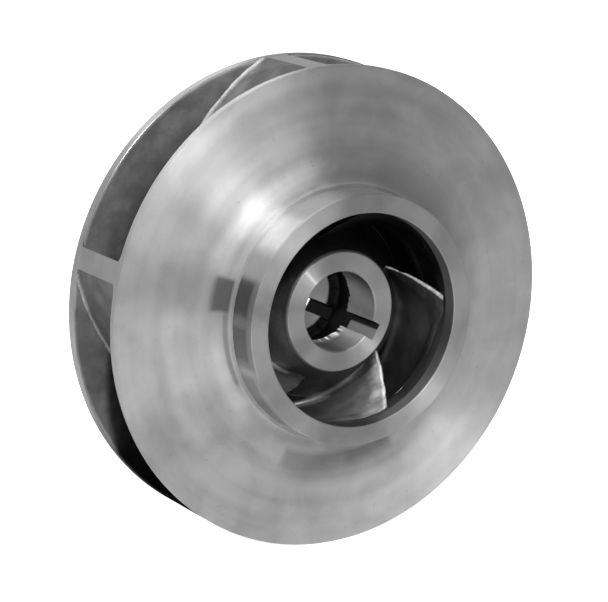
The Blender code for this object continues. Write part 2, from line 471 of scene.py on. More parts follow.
def turned_places(mesh: bpy.types.Mesh) -> tuple[np.ndarray, np.ndarray, np.ndarray]:
    """Radius, height and angle in degrees of each vertex."""
    x, y, z = vertex_places(mesh).T
    return np.hypot(x, z), MIDDLE_HEIGHT - y, np.degrees(np.arctan2(z, x)) % 360.0


def ramp(distance: np.ndarray, width: float) -> np.ndarray:
    """Share that rises from 0 to 1 over a width."""
    return np.clip(distance / width, 0.0, 1.0)


def sector(angle: np.ndarray, start: float, end: float, blur: float) -> np.ndarray:
    """Share of each angle in a sector with blurred ends, all in degrees."""
    off = np.abs((angle - 0.5 * (start + end) + 180.0) % 360.0 - 180.0)
    return np.clip((0.5 * (end - start) - off) / blur + 0.5, 0.0, 1.0)


@dataclass(frozen=True)
class Patch:
    """Part of a sector with painted shade, or with a painted highlight where its strength is below
    zero.
    """

    start: float
    end: float
    blur: float
    strength: float
    inner: float = 0.0
    outer: float = 1.0
    edge: float = 0.002

    def on(self, radius: np.ndarray, angle: np.ndarray) -> np.ndarray:
        """Strength of the patch at each radius and angle, in degrees."""
        band = ramp(radius - self.inner, self.edge) * ramp(self.outer - radius, self.edge)
        return self.strength * band * sector(angle, self.start, self.end, self.blur)


@dataclass(frozen=True)
class PaintedPassageShade:
    """Painted shade of the flow passage, darkest deep inside and on the upper side, which fades
    towards the rim.
    """

    unshaded_radius: float = 0.138
    fade: float = 0.035
    inlet_radius: float = 0.095
    inlet_fade: float = 0.020
    upper_angle: float = 80.0
    upper_gain: float = 1.6
    upper_spread: float = 0.2
    upper_strength: float = 0.85

    def on(self, mesh: bpy.types.Mesh) -> np.ndarray:
        """Painted shade of each vertex of a mesh.

        Args:
            mesh: The mesh.

        Returns:
            The painted shade of each vertex.
        """
        radius, _, angle = turned_places(mesh)
        upper = self.upper_gain * np.cos(np.radians(angle - self.upper_angle)) + self.upper_spread
        upper = self.upper_strength * np.clip(upper, 0.0, 1.0)
        inside = ramp(self.unshaded_radius - radius, self.fade)
        return inside + upper * ramp(self.inlet_radius - radius, self.inlet_fade)


def touches(mesh: bpy.types.Mesh, zone: Zone) -> np.ndarray:
    """Whether each vertex touches a face of a zone.

    Args:
        mesh: The mesh.
        zone: The zone.

    Returns:
        One truth value per vertex.
    """
    found = np.zeros(len(mesh.vertices), bool)
    for polygon in mesh.polygons:
        if polygon.material_index == zone.value:
            found[list(polygon.vertices)] = True
    return found


def cast_weights(mesh: bpy.types.Mesh, rise: float) -> np.ndarray:
    """Share of the cast skin at each vertex, which fades out at a turned edge.

    Args:
        mesh: A turned mesh with its zones as material slots.
        rise: Distance over which the skin fades in.

    Returns:
        One weight per vertex.
    """
    turned, cast = touches(mesh, Zone.TURNED), touches(mesh, Zone.CAST)
    places = vertex_places(mesh)
    profile = np.stack([np.hypot(places[:, 0], places[:, 2]), places[:, 1]], axis=-1)
    border = np.unique(np.round(profile[turned & cast], 5), axis=0)
    weights = np.where(cast & ~turned, 1.0, 0.0)
    if len(border):
        gaps = np.linalg.norm(profile[:, None, :] - border[None, :, :], axis=-1)
        weights = weights * ramp(np.min(gaps, axis=1), rise)
    return weights


class Sheet:
    """Adds and links the nodes of one tree."""

    def __init__(self, tree: bpy.types.NodeTree) -> None:
        """Keep the tree."""
        self.tree = tree

    def add(self, kind: str, **settings: object) -> bpy.types.Node:
        """Add a node and set its properties.

        Args:
            kind: Type of the node.
            settings: Its properties.

        Returns:
            The node.
        """
        node = self.tree.nodes.new(kind)
        for key, value in settings.items():
            setattr(node, key, value)
        return node

    def feed(self, socket: Socket, value: object) -> None:
        """Link a socket to an output, or set it to a plain value.

        Args:
            socket: The input.
            value: The output or the plain value.
        """
        if isinstance(value, bpy.types.NodeSocket):
            self.tree.links.new(value, socket)
        else:
            socket.default_value = value

    def fill(self, node: bpy.types.Node, values: dict[str, object]) -> bpy.types.Node:
        """Feed some of a node's inputs by name, and return the node.

        Args:
            node: The node.
            values: What feeds each input.

        Returns:
            The same node.
        """
        for name, value in values.items():
            self.feed(node.inputs[name], value)
        return node

    def fed(self, kind: str, values: tuple, **settings: object) -> bpy.types.Node:
        """Add a node and feed its first inputs in order.

        Args:
            kind: Type of the node.
            values: What feeds each of its first inputs.
            settings: Its properties.

        Returns:
            The node.
        """
        node = self.add(kind, **settings)
        for socket, value in zip(node.inputs, values):
            self.feed(socket, value)
        return node

    def math(self, operation: str, *values: object) -> Socket:
        """Add a maths node and return its result."""
        return self.fed("ShaderNodeMath", values, operation=operation).outputs[0]

    def vector(self, operation: str, *values: object) -> Socket:
        """Add a vector maths node and return its vector."""
        return self.fed("ShaderNodeVectorMath", values, operation=operation).outputs[0]

    def scaled(self, value: object, scale: object) -> Socket:
        """Scale a vector."""
        node = self.fed("ShaderNodeVectorMath", (value,), operation="SCALE")
        return self.fill(node, {"Scale": scale}).outputs[0]

    def parts(self, value: object) -> bpy.types.bpy_prop_collection:
        """Outputs with the X, Y and Z of a vector."""
        return self.fed("ShaderNodeSeparateXYZ", (value,)).outputs

    def joined(self, *values: object) -> Socket:
        """Vector from its X, Y and Z."""
        return self.fed("ShaderNodeCombineXYZ", values).outputs[0]

    def noise(self, place: object, **values: object) -> Socket:
        """Add a noise texture and return its value."""
        return self.fill(self.add("ShaderNodeTexNoise"), {"Vector": place, **values}).outputs[0]

    def span(
        self, value: object, low: float, high: float, start: object = 0.0, end: object = 1.0
    ) -> Socket:
        """Map a value from one range to another, smoothly and within its ends.

        Args:
            value: The value.
            low: Start of its range.
            high: End of its range.
            start: Result at the start.
            end: Result at the end.

        Returns:
            The result.
        """
        node = self.add("ShaderNodeMapRange", interpolation_type="SMOOTHSTEP")
        names = ("Value", "From Min", "From Max", "To Min", "To Max")
        return self.fill(node, dict(zip(names, (value, low, high, start, end)))).outputs[0]


class Surface(Sheet):
    """Nodes of one material, round its shader."""

    def __init__(self, name: str, values: dict[str, object]) -> None:
        """Make the material, with plain values for some of its shader's inputs.

        Args:
            name: Name of the material.
            values: The values by input.
        """
        self.material = bpy.data.materials.new(name)
        self.material.use_nodes = True
        super().__init__(self.material.node_tree)
        self.shader = self.fill(self.tree.nodes["Principled BSDF"], values)

    def place(self) -> Socket:
        """Place on the object."""
        return self.add("ShaderNodeTexCoord").outputs["Object"]

    def attribute(self, name: str) -> Socket:
        """Value of one of the mesh's attributes."""
        return self.add("ShaderNodeAttribute", attribute_name=name).outputs["Fac"]

    def group(self, name: str, values: dict[str, object]) -> bpy.types.bpy_prop_collection:
        """Outputs of a shared group, used with its own values."""
        node = self.add("ShaderNodeGroup", node_tree=bpy.data.node_groups[name])
        return self.fill(node, values).outputs

    def with_painted_light(self, shade: Socket) -> Socket:
        """Darken a shade by the map of painted shade, or paint light on it where the map is below
        zero.
        """
        paint_factor = self.math("MULTIPLY_ADD", self.attribute(STAIN_AND_PAINTED_LIGHT_MAP), -0.5, 1.0)
        return self.math("MULTIPLY", shade, self.math("MAXIMUM", paint_factor, 0.03))

    def coat(self, shade: Socket, rough: Socket, height: Socket, depth: float) -> None:
        """Feed the shader.

        Args:
            shade: Grey of the metal.
            rough: Roughness of the metal.
            height: Height of the fine relief.
            depth: Depth of the fine relief.
        """
        grey = self.fed("ShaderNodeCombineColor", (shade, shade, shade))
        relief = {"Strength": 1.0, "Distance": depth, "Height": height}
        bump = self.fill(self.add("ShaderNodeBump"), relief)
        looks = {"Base Color": grey.outputs[0], "Roughness": rough, "Normal": bump.outputs[0]}
        self.fill(self.shader, looks)


def new_tree(
    name: str, kind: str, inputs: list[tuple[str, str, object]], outputs: list[tuple[str, str]]
) -> tuple[Sheet, bpy.types.Node, bpy.types.Node]:
    """Make a node group with named sockets.

    Args:
        name: Name of the group.
        kind: Tree type.
        inputs: Name, type and default of each input.
        outputs: Name and type of each output.

    Returns:
        The group's sheet, its input node and its output node.
    """
    sheet = Sheet(bpy.data.node_groups.new(name, kind))
    for label, socket_kind, default in inputs:
        socket_type = "NodeSocket" + socket_kind
        socket = sheet.tree.interface.new_socket(label, in_out="INPUT", socket_type=socket_type)
        if default is not None:
            socket.default_value = default
    for label, socket_kind in outputs:
        socket_type = "NodeSocket" + socket_kind
        sheet.tree.interface.new_socket(label, in_out="OUTPUT", socket_type=socket_type)
    return sheet, sheet.add("NodeGroupInput"), sheet.add("NodeGroupOutput")


def turning_marks() -> None:
    """Make the group for the fine rings that a lathe tool leaves, from the profile map."""
    sheet, source, sink = new_tree(
        "turning marks",
        "ShaderNodeTree",
        [
            ("Map", "Vector", None),
            ("Position", "Vector", None),
            ("Rings", "Float", 900.0),
            ("Waver", "Float", 0.6),
        ],
        [("Height", "Float"), ("Streak", "Float")],
    )
    value = source.outputs
    flat = sheet.vector("MULTIPLY", value["Position"], (1.0, 0.0, 1.0))
    around = sheet.parts(sheet.vector("NORMALIZE", flat))
    place = sheet.joined(
        sheet.math("MULTIPLY", around[0], value["Waver"]),
        sheet.math("MULTIPLY", around[2], value["Waver"]),
        sheet.math("MULTIPLY", sheet.parts(value["Map"])[0], value["Rings"]),
    )
    broad = sheet.scaled(place, 0.13)
    sheet.feed(sink.inputs["Height"], sheet.noise(place, Scale=1.0, Detail=3.0))
    sheet.feed(sink.inputs["Streak"], sheet.noise(broad, Scale=1.0, Detail=4.0))


def cloudy_patina() -> None:
    """Make the group for the cloudy dull patches on bare metal that has been handled."""
    sheet, source, sink = new_tree(
        "cloudy patina",
        "ShaderNodeTree",
        [("Position", "Vector", None), ("Size", "Float", 38.0), ("Contrast", "Float", 1.0)],
        [("Cloud", "Float"), ("Speck", "Float")],
    )
    value = source.outputs
    place = value["Position"]
    big = sheet.noise(place, Scale=value["Size"], Detail=5.0, Roughness=0.55, Distortion=0.4)
    half = sheet.math("SUBTRACT", big, 0.5)
    small = sheet.noise(place, Scale=520.0, Detail=2.0)
    sheet.feed(sink.inputs["Cloud"], sheet.math("MULTIPLY_ADD", half, value["Contrast"], 0.5))
    sheet.feed(sink.inputs["Speck"], sheet.span(small, 0.66, 0.78))


def casting_grain() -> None:
    """Make the group for the sandy grain of an as-cast skin."""
    sheet, source, sink = new_tree(
        "casting grain",
        "ShaderNodeTree",
        [("Position", "Vector", None), ("Grain", "Float", 700.0)],
        [("Height", "Float"), ("Shade", "Float")],
    )
    place, grain = source.outputs["Position"], source.outputs["Grain"]
    sand = sheet.noise(place, Scale=grain, Detail=4.0, Roughness=0.65)
    sheet.feed(sink.inputs["Height"], sand)
    sheet.feed(sink.inputs["Shade"], sheet.noise(place, Scale=70.0, Detail=4.0))


@dataclass(frozen=True)
class TurnedFinish:
    """Bare metal that was turned on a lathe and has gone a little cloudy."""

    name: str
    dark: float = 0.50
    light: float = 0.62
    smooth: float = 0.46
    dull: float = 0.52
    anisotropy: float = 1.0
    rings: float = 55.0
    ring_depth: float = 0.00002
    streaks: float = 0.35
    waver: float = 0.6
    cloud_size: float = 38.0
    clouds: float = 1.0
    speck_shade: float = 0.8

    def make(self) -> bpy.types.Material:
        """Build the material.

        Returns:
            The material.
        """
        surface = Surface(self.name, {"Metallic": 1.0, "Anisotropic": self.anisotropy})
        place = surface.place()
        across = surface.add("ShaderNodeUVMap", uv_map=PROFILE_UV).outputs[0]
        cut = {"Map": across, "Position": place, "Rings": self.rings, "Waver": self.waver}
        marks = surface.group("turning marks", cut)
        cloudy = {"Position": place, "Size": self.cloud_size, "Contrast": self.clouds}
        clouds = surface.group("cloudy patina", cloudy)
        tone = surface.math("MULTIPLY_ADD", marks["Streak"], self.streaks, -0.5 * self.streaks)
        tone = surface.math("ADD", tone, clouds["Cloud"])
        shade = surface.span(tone, 0.25, 0.75, self.dark, self.light)
        specks = surface.span(clouds["Speck"], 0.0, 1.0, 1.0, self.speck_shade)
        shade = surface.with_painted_light(surface.math("MULTIPLY", shade, specks))
        rough = surface.span(tone, 0.25, 0.75, self.dull, self.smooth)
        surface.coat(shade, rough, marks["Height"], self.ring_depth)
        tangent = surface.add("ShaderNodeTangent", direction_type="UV_MAP", uv_map=PROFILE_UV)
        surface.feed(surface.shader.inputs["Tangent"], tangent.outputs[0])
        return surface.material


@dataclass(frozen=True)
class CastFinish:
    """Dull, sandy skin of the casting, with brighter ground metal where the wear map is high, which
    also paints glints along the vanes' edges.
    """

    name: str
    dark: float = 0.20
    light: float = 0.32
    ground: float = 0.50
    rough: float = 0.52
    ground_rough: float = 0.42
    metallic: float = 0.85
    grain_depth: float = 0.00015
    broken_edge: float = 0.45

    def make(self) -> bpy.types.Material:
        """Build the material.

        Returns:
            The material.
        """
        surface = Surface(self.name, {"Metallic": self.metallic})
        grain = surface.group("casting grain", {"Position": surface.place()})
        edge = self.broken_edge
        broken = surface.math("MULTIPLY_ADD", grain["Height"], edge, -0.5 * edge)
        glinting_wear = surface.math("ADD", surface.attribute(WEAR_AND_GLINT_MAP), broken)
        mask = surface.span(glinting_wear, 0.35, 0.65)
        shade = surface.with_painted_light(surface.span(grain["Shade"], 0.3, 0.7, self.dark, self.light))
        mixed = surface.add("ShaderNodeMix", data_type="FLOAT")
        for index, value in ((0, mask), (2, shade), (3, self.ground)):
            surface.feed(mixed.inputs[index], value)
        rough = surface.span(mask, 0.0, 1.0, self.rough, self.ground_rough)
        surface.coat(mixed.outputs[0], rough, grain["Height"], self.grain_depth)
        return surface.material


@dataclass
class TurnedPiece:
    """Piece that is turned from a closed profile, and as cast where it isn't machined."""

    node: str = ""
    finish: str = ""
    skin_rise: float = 0.004
    sharp_angle: float = 38.0

    def profile(self, passage: Passage) -> list[Run]:
        """Closed profile, which each kind of piece draws for itself."""
        raise NotImplementedError

    def painted_light_and_shade(self, mesh: bpy.types.Mesh) -> np.ndarray:
        """Painted shade and highlights of the turned surfaces, which each kind of piece has for
        itself.
        """
        raise NotImplementedError

    def painted_passage_shade(self, mesh: bpy.types.Mesh) -> np.ndarray | None:
        """Painted shade of the cast surfaces, or None for the flow passage's usual one."""
        return None

    def turn(self, runs: list[Run], materials: list[bpy.types.Material]) -> bpy.types.Object:
        """Turn the profile into a mesh."""
        return Lathe().turn(self.node + "_turned", runs, materials)

    def dress(self, mesh: bpy.types.Mesh) -> None:
        """Give the mesh its cast skin and its painted light and shade.

        Args:
            mesh: The piece's mesh.
        """
        painted_light_and_shade, painted_passage_shade = self.painted_light_and_shade(mesh), self.painted_passage_shade(mesh)
        CastSkin().apply(mesh, cast_weights(mesh, self.skin_rise))
        stain = PaintedPassageShade().on(mesh) if painted_passage_shade is None else painted_passage_shade
        store(mesh, WEAR_AND_GLINT_MAP, np.zeros(len(stain)))
        store(mesh, STAIN_AND_PAINTED_LIGHT_MAP, np.where(touches(mesh, Zone.TURNED), painted_light_and_shade, stain))

    def build(self, passage: Passage, finishes: Finishes) -> bpy.types.Object:
        """Build the piece and dress it.

        Args:
            passage: Walls of the flow passage.
            finishes: Materials by name.

        Returns:
            The finished piece.
        """
        materials = [finishes[self.finish], finishes["cast"]]
        piece = self.turn(self.profile(passage), materials)
        self.dress(piece.data)
        piece.data.set_sharp_from_angle(angle=math.radians(self.sharp_angle))
        return piece


@dataclass
class FrontShroud(TurnedPiece):
    """Conical front plate with the step under the eye ring and a hollow at its foot."""

    node: str = "front_shroud"
    finish: str = "plate"
    step_radius: float = 0.0798
    step_height: float = 0.0857
    step_foot: float = 0.0820
    step_break: float = 0.0004
    hollow: tuple[Point, ...] = ((0.0800, 0.0793), (0.0838, 0.0790), (0.0875, 0.0786))
    hollow_steps: int = 10
    hollow_end: Point = (0.0918, 0.0783)
    ridge: Point = (0.096, 0.0781)
    rim_height: float = 0.073
    rim_break: float = 0.0005
    longest: float = 0.004
    foot_radius: float = 0.0900
    foot_fade: float = 0.0015
    # Painted dark reflections on the step and hollow under the eye ring.
    painted_foot_reflections: tuple[Patch, ...] = (
        Patch(159.0, 173.0, 2.0, 1.20),
        Patch(173.0, 207.0, 3.0, 0.70, outer=0.0812, edge=TINY),
    )
    # Painted highlights where the strength is below zero, and painted shade above zero.
    painted_plate_light: tuple[Patch, ...] = (
        Patch(95.0, 155.0, 14.0, -0.72, 0.082, 0.098, 0.005),
        Patch(100.0, 121.0, 6.0, 0.75, 0.0780, 0.0825),
        Patch(185.0, 220.0, 12.0, -0.85, 0.080, 0.093, 0.003),
        Patch(246.0, 294.0, 2.0, 0.60, 0.089, 0.101),
        Patch(274.0, 292.0, 4.0, 0.35, 0.089, 0.101),
        Patch(256.0, 304.0, 9.0, -0.50, 0.108, 0.160, 0.006),
        Patch(176.0, 216.0, 8.0, -0.38, 0.093, 0.126, 0.006),
    )

    def profile(self, passage: Passage) -> list[Run]:
        """Profile from the step over the plate to the rim, and back along the passage.

        Args:
            passage: Walls of the flow passage.

        Returns:
            The runs of the profile.
        """
        wall = below(passage.shroud_line(), self.step_height)
        step, rim = self.step_radius, (OUTER_RADIUS, self.rim_height)
        corner, foot = (step, self.step_height), (step, self.step_foot)
        face = [(wall[0][0] + 0.0004, self.step_height), (step - EDGE_STEP, self.step_height)]
        face += rounded(face[-1], corner, foot, self.step_break)
        face += [(step, self.step_foot + 0.0006)]
        face += bezier((foot, *self.hollow), self.hollow_steps)
        face += [self.hollow_end, (self.ridge[0] - 0.001, self.ridge[1] + 0.0001)]
        plate_end = (OUTER_RADIUS - EDGE_STEP, self.rim_height + 0.0001)
        face += subdivide([self.ridge, plate_end], self.longest)
        face += rounded(face[-1], rim, (OUTER_RADIUS, self.rim_height - ASIDE), self.rim_break)
        end = passage.shroud_end
        face += [(OUTER_RADIUS, self.rim_height - 0.0014), (OUTER_RADIUS, end[1] + EDGE_STEP)]
        face += rounded(face[-1], end, (OUTER_RADIUS - ASIDE, end[1]), INNER_BREAK, 3)
        inner = [point for point in reversed(wall) if point[0] < OUTER_RADIUS - 0.0006]
        return [Run(Zone.TURNED, face), Run(Zone.CAST, inner)]

    def painted_light_and_shade(self, mesh: bpy.types.Mesh) -> np.ndarray:
        """Painted dark reflections at the foot of the eye ring, and painted highlights and shade on
        the plate.

        Args:
            mesh: The piece's mesh.

        Returns:
            The painted light and shade of each vertex.
        """
        radius, height, angle = turned_places(mesh)
        foot = ramp(self.foot_radius - radius, self.foot_fade)
        foot *= (radius > self.step_radius - PICK) & (height < self.step_height - EDGE_PICK)
        plate = height > self.rim_height - EDGE_PICK
        painted_light_and_shade = foot * sum(patch.on(radius, angle) for patch in self.painted_foot_reflections)
        return painted_light_and_shade + plate * sum(patch.on(radius, angle) for patch in self.painted_plate_light)


@dataclass
class EyeRing(TurnedPiece):
    """Raised turned ring round the eye, whose bore runs into the cast passage."""

    node: str = "eye_ring"
    finish: str = "ring"
    inner_radius: float = 0.0656
    outer_radius: float = 0.0774
    front_height: float = 0.108
    foot_height: float = 0.0857
    eye_break: float = 0.0009
    edge_break: float = 0.0005
    turned_bore: float = 0.004
    longest: float = 0.003
    # Painted shade in the bore, and painted sheen, dark reflections and a highlight on the outer
    # wall.
    painted_bore_shade: float = 1.3
    painted_wall_sheen: float = -0.35
    painted_wall_reflections: tuple[Patch, ...] = (
        Patch(156.0, 197.0, 3.0, 0.80),
        Patch(100.0, 121.0, 6.0, 0.50),
        Patch(214.0, 240.0, 6.0, 0.50),
        Patch(124.0, 142.0, 6.0, -0.90),
    )
    low_height: float = 0.1025
    low_fade: float = 0.0015
    painted_low_reflections: tuple[Patch, ...] = (
        Patch(156.0, 197.0, 3.0, 0.20),
        Patch(157.0, 173.0, 3.0, 0.60),
        Patch(178.0, 193.0, 2.0, 0.45),
        Patch(201.0, 234.0, 4.0, 0.65),
    )

    def profile(self, passage: Passage) -> list[Run]:
        """Profile from the bore over the ring's front to its foot, and back inside.

        Args:
            passage: Walls of the flow passage.

        Returns:
            The runs of the profile.
        """
        front, inner, outer = self.front_height, self.inner_radius, self.outer_radius
        face = [(inner, front - self.turned_bore), (inner, front - self.eye_break - 0.0004)]
        face += rounded(face[-1], (inner, front), (outer, front), self.eye_break, 3)
        face += [(inner + self.eye_break + 0.0005, front)]
        face += [(outer - self.edge_break - 0.0006, front)]
        face += rounded(face[-1], (outer, front), (outer, front - ASIDE), self.edge_break)
        face += [(outer, front - EDGE_STEP)]
        face += subdivide([(outer, front - 0.002), (outer, self.foot_height)], self.longest)
        wall = above(passage.shroud_line(), self.foot_height)
        return [Run(Zone.TURNED, face), Run(Zone.CAST, wall[::-1])]

    def painted_light_and_shade(self, mesh: bpy.types.Mesh) -> np.ndarray:
        """Painted reflections and highlight on the ring's outer wall, and painted shade in its
        bore.

        Args:
            mesh: The piece's mesh.

        Returns:
            The painted light and shade of each vertex.
        """
        radius, height, angle = turned_places(mesh)
        outer = (radius > self.outer_radius - PICK) & (height < self.front_height - EDGE_PICK)
        bore = (radius < self.inner_radius + EDGE_STEP) & (height < self.front_height - PICK)
        low = ramp(self.low_height - height, self.low_fade)
        wall = self.painted_wall_sheen + sum(patch.on(radius, angle) for patch in self.painted_wall_reflections)
        wall += low * sum(patch.on(radius, angle) for patch in self.painted_low_reflections)
        return wall * outer + self.painted_bore_shade * bore


@dataclass
class BackShroud(TurnedPiece):
    """Back plate, which rises into the flare of the hub."""

    node: str = "back_shroud"
    finish: str = "rear"
    rim_break: float = 0.0005
    longest: float = 0.004
    # Painted shade in the outlets and on the rim: on the rim's lower side, and where the outlet
    # lamp's highlight falls.
    painted_outlet_shade: float = 1.2
    painted_passage_gain: float = 0.7
    painted_rim_shade: Patch = Patch(209.0, 320.0, 12.0, 1.1)
    lit_angle: float = 136.5
    lit_width: float = 19.0
    painted_shade_on_glint: float = 1.85

    def profile(self, passage: Passage) -> list[Run]:
        """Profile from the hub's flare along the passage to the rim and the rear.

        Args:
            passage: Walls of the flow passage.

        Returns:
            The runs of the profile.
        """
        line = outside(passage.hub_line(), SPLIT_RADIUS)
        top, bottom = passage.hub_end, (OUTER_RADIUS, REAR_HEIGHT)
        flare = [point for point in line if point[0] < OUTER_RADIUS - 0.001]
        flare.append((OUTER_RADIUS - 0.0007, top[1]))
        inside, under = (OUTER_RADIUS - ASIDE, top[1]), (OUTER_RADIUS, top[1] - ASIDE)
        rim = rounded(inside, top, under, INNER_BREAK, 3)
        rim += [(OUTER_RADIUS, top[1] - EDGE_STEP), (OUTER_RADIUS, REAR_HEIGHT + EDGE_STEP)]
        rim += rounded(rim[-1], bottom, (OUTER_RADIUS - ASIDE, REAR_HEIGHT), self.rim_break)
        rear = [(OUTER_RADIUS - EDGE_STEP, REAR_HEIGHT), (SPLIT_RADIUS, REAR_HEIGHT)]
        turned = rim + subdivide(rear, self.longest)
        return [Run(Zone.CAST, flare), Run(Zone.TURNED, turned)]

    def painted_light_and_shade(self, mesh: bpy.types.Mesh) -> np.ndarray:
        """Painted shade on the rim, over the outlet lamp's highlight and on its lower side.

        Args:
            mesh: The piece's mesh.

        Returns:
            The painted shade of each vertex.
        """
        radius, _, angle = turned_places(mesh)
        lit = self.painted_shade_on_glint * np.exp(-(((angle - self.lit_angle) / self.lit_width) ** 2))
        rim = np.minimum(lit + self.painted_rim_shade.on(radius, angle), BLACKEST)
        return rim * (radius > OUTER_RADIUS - EDGE_PICK)

    def painted_passage_shade(self, mesh: bpy.types.Mesh) -> np.ndarray:
        """Painted shade of the passage, which is darker than elsewhere."""
        stain = self.painted_outlet_shade + self.painted_passage_gain * PaintedPassageShade().on(mesh)
        return np.minimum(stain, BLACKEST)


@dataclass
class Hub(TurnedPiece):
    """Boss with a turned front face, a bore with two lands and one keyway."""

    node: str = "hub"
    finish: str = "hub"
    skin_rise: float = 0.0035
    sharp_angle: float = 33.0
    front_height: float = 0.082
    face_radius: float = 0.0373
    face_break: float = 0.0009
    face_ring: float = 0.0318
    boss_radius: float = 0.0405
    boss_fillet: float = 0.005
    boss_break: float = 0.001
    fillet_steps: int = 8
    bore_radius: float = 0.025
    bore_break: float = 0.0007
    cored_radius: float = 0.0315
    cored_taper: float = 0.003
    core_shoulder: float = 0.0006
    core_shoulder_step: float = 0.0018
    core_middle: float = 0.55
    core_middle_step: float = 0.0007
    core_slack: float = 0.002
    cored_longest: float = 0.0014
    longest: float = 0.003
    front_land: float = 0.0535
    rear_land: float = 0.0285
    land_stray: float = 0.0032
    stray_depth: float = 0.0072
    rear_stray: float = 0.0008
    rear_stray_depth: float = 0.004
    lip_steps: int = 6
    lip_step: float = 0.0007
    burr_width: float = 0.0060
    burr_rise: float = 0.0014
    burr_sector: tuple = (205.0, 312.0, 20.0)
    burr_even: float = 0.80
    burr_uneven: float = 0.7
    burr_least: float = 0.50
    burr_full: float = 0.4
    # Painted highlight on the burr, whose lift into the bore is real.
    burr_bright: float = 2.4
    key_break: float = 0.0003
    key_narrowing: float = -0.0006
    key_narrow_from: float = 0.01
    key_slack: float = 0.0004
    key_half: float = 0.0056
    # Painted shadow in the keyway, painted shade on the front land, and painted light on the rear
    # land.
    key_dark: float = 1.85
    key_dark_start: float = 0.0012
    key_dark_blur: float = 0.0008
    land_dark: float = 1.6
    land_start: float = 22.0
    land_lean: float = 30.0
    land_blur: float = 45.0
    land_end: float = 130.0
    rear_bright: float = 0.9
    rear_reach: float = 0.001
    rear_slack: float = 0.0005
    core_reach: float = 0.008
    # Painted highlight line on the hub's front face.
    painted_face_highlight: Patch = Patch(129.8, 133.2, 1.0, -0.9)
    # Painted shade on the lower side of the flare.
    painted_lower_shade: Patch = Patch(226.0, 292.0, 12.0, 0.45)

    def profile(self, passage: Passage) -> list[Run]:
        """Profile from the front face down the flare, round the boss and up the bore.

        Args:
            passage: Walls of the flow passage.

        Returns:
            The runs of the profile.
        """
        line = passage.hub_line()
        nose = [point for point in line if point[0] < SPLIT_RADIUS]
        front, edge = self.front_height, self.face_radius
        face = [(self.bore_radius + self.bore_break, front), (self.face_ring, front)]
        face += [(edge - 0.0016, front)]
        face += rounded(face[-1], (edge, front), (edge, front - ASIDE), self.face_break)
        face += [(edge + 0.0003, front - 0.0016)]
        return [
            Run(Zone.TURNED, face),
            Run(Zone.CAST, nose + outside(line, SPLIT_RADIUS)[:1]),
            Run(Zone.TURNED, self.boss() + self.rear_bore()),
            Run(Zone.CAST, self.core()),
            Run(Zone.TURNED, self.front_bore()),
        ]

    def boss(self) -> list[Point]:
        """Profile of the rear boss and its fillet.

        Returns:
            The points, as radius and height.
        """
        fillet = self.boss_fillet
        points = [(SPLIT_RADIUS, REAR_HEIGHT)]
        for index in range(self.fillet_steps + 1):
            angle = math.radians(90.0 + 90.0 * index / self.fillet_steps)
            radius = self.boss_radius + fillet + fillet * math.cos(angle)
            points.append((radius, REAR_HEIGHT - fillet + fillet * math.sin(angle)))
        corner = (self.boss_radius, 0.0)
        points += rounded(points[-1], corner, (self.bore_radius, 0.0), self.boss_break)
        return points + [(self.boss_radius - 0.0015, 0.0), (self.face_ring, 0.0)]

    def rear_bore(self) -> list[Point]:
        """Profile of the bore's rear land.

        Returns:
            The points, as radius and height.
        """
        bore = self.bore_radius
        points = [(bore + self.bore_break, 0.0), (bore, self.bore_break)]
        land = [(bore, self.bore_break + 0.0005), (bore, self.rear_land)]
        return points + subdivide(land, self.longest)

    def core(self) -> list[Point]:
        """Profile of the rough length between the lands.

        Returns:
            The points, as radius and height.
        """
        middle = self.bore_radius + self.core_middle * (self.cored_radius - self.bore_radius)
        shoulder = self.cored_radius - self.core_shoulder
        steps = (
            (middle, self.core_middle_step),
            (shoulder, self.core_shoulder_step),
            (self.cored_radius, self.cored_taper),
        )
        rear = [(radius, self.rear_land + step) for radius, step in steps]
        front = [(radius, self.front_land - step) for radius, step in reversed(steps)]
        return rear[:-1] + subdivide([rear[-1], front[0]], self.cored_longest) + front[1:]

    def front_bore(self) -> list[Point]:
        """Profile of the bore's front land, with close steps at its ragged edge.

        Returns:
            The points, as radius and height.
        """
        bore, front = self.bore_radius, self.front_height
        points = [(bore, self.front_land + step * self.lip_step) for step in range(self.lip_steps)]
        start = (bore, self.front_land + self.lip_steps * self.lip_step)
        points += subdivide([start, (bore, front - EDGE_STEP)], self.longest)
        return points + [(bore, front - self.bore_break)]

    def turn(self, runs: list[Run], materials: list[bpy.types.Material]) -> bpy.types.Object:
        """Turn the hub with its keyway, ragged edge and burr.

        Args:
            runs: The hub's profile.
            materials: One material per zone.

        Returns:
            The new object.
        """
        points = [point for run in runs for point in run.points]
        cut, strays = self.keyway_points(points), self.ragged_edge(points)
        piece = Lathe().turn(self.node + "_turned", runs, materials, Keyway(), cut, strays)
        self.raise_burr(piece.data)
        return piece

    def build(self, passage: Passage, finishes: Finishes) -> bpy.types.Object:
        """Build the hub, whose rear has the same finish as the back plate.

        Args:
            passage: Walls of the flow passage.
            finishes: Materials by name.

        Returns:
            The finished piece.
        """
        piece = super().build(passage, finishes)
        mesh = piece.data
        mesh.materials.append(finishes["rear"])
        for polygon in mesh.polygons:
            place = polygon.center
            if polygon.material_index == Zone.TURNED.value:
                behind = MIDDLE_HEIGHT - place.y < REAR_HEIGHT + self.rear_slack
                if behind and math.hypot(place.x, place.z) > self.bore_radius + self.rear_slack:
                    polygon.material_index = len(mesh.materials) - 1
        return piece

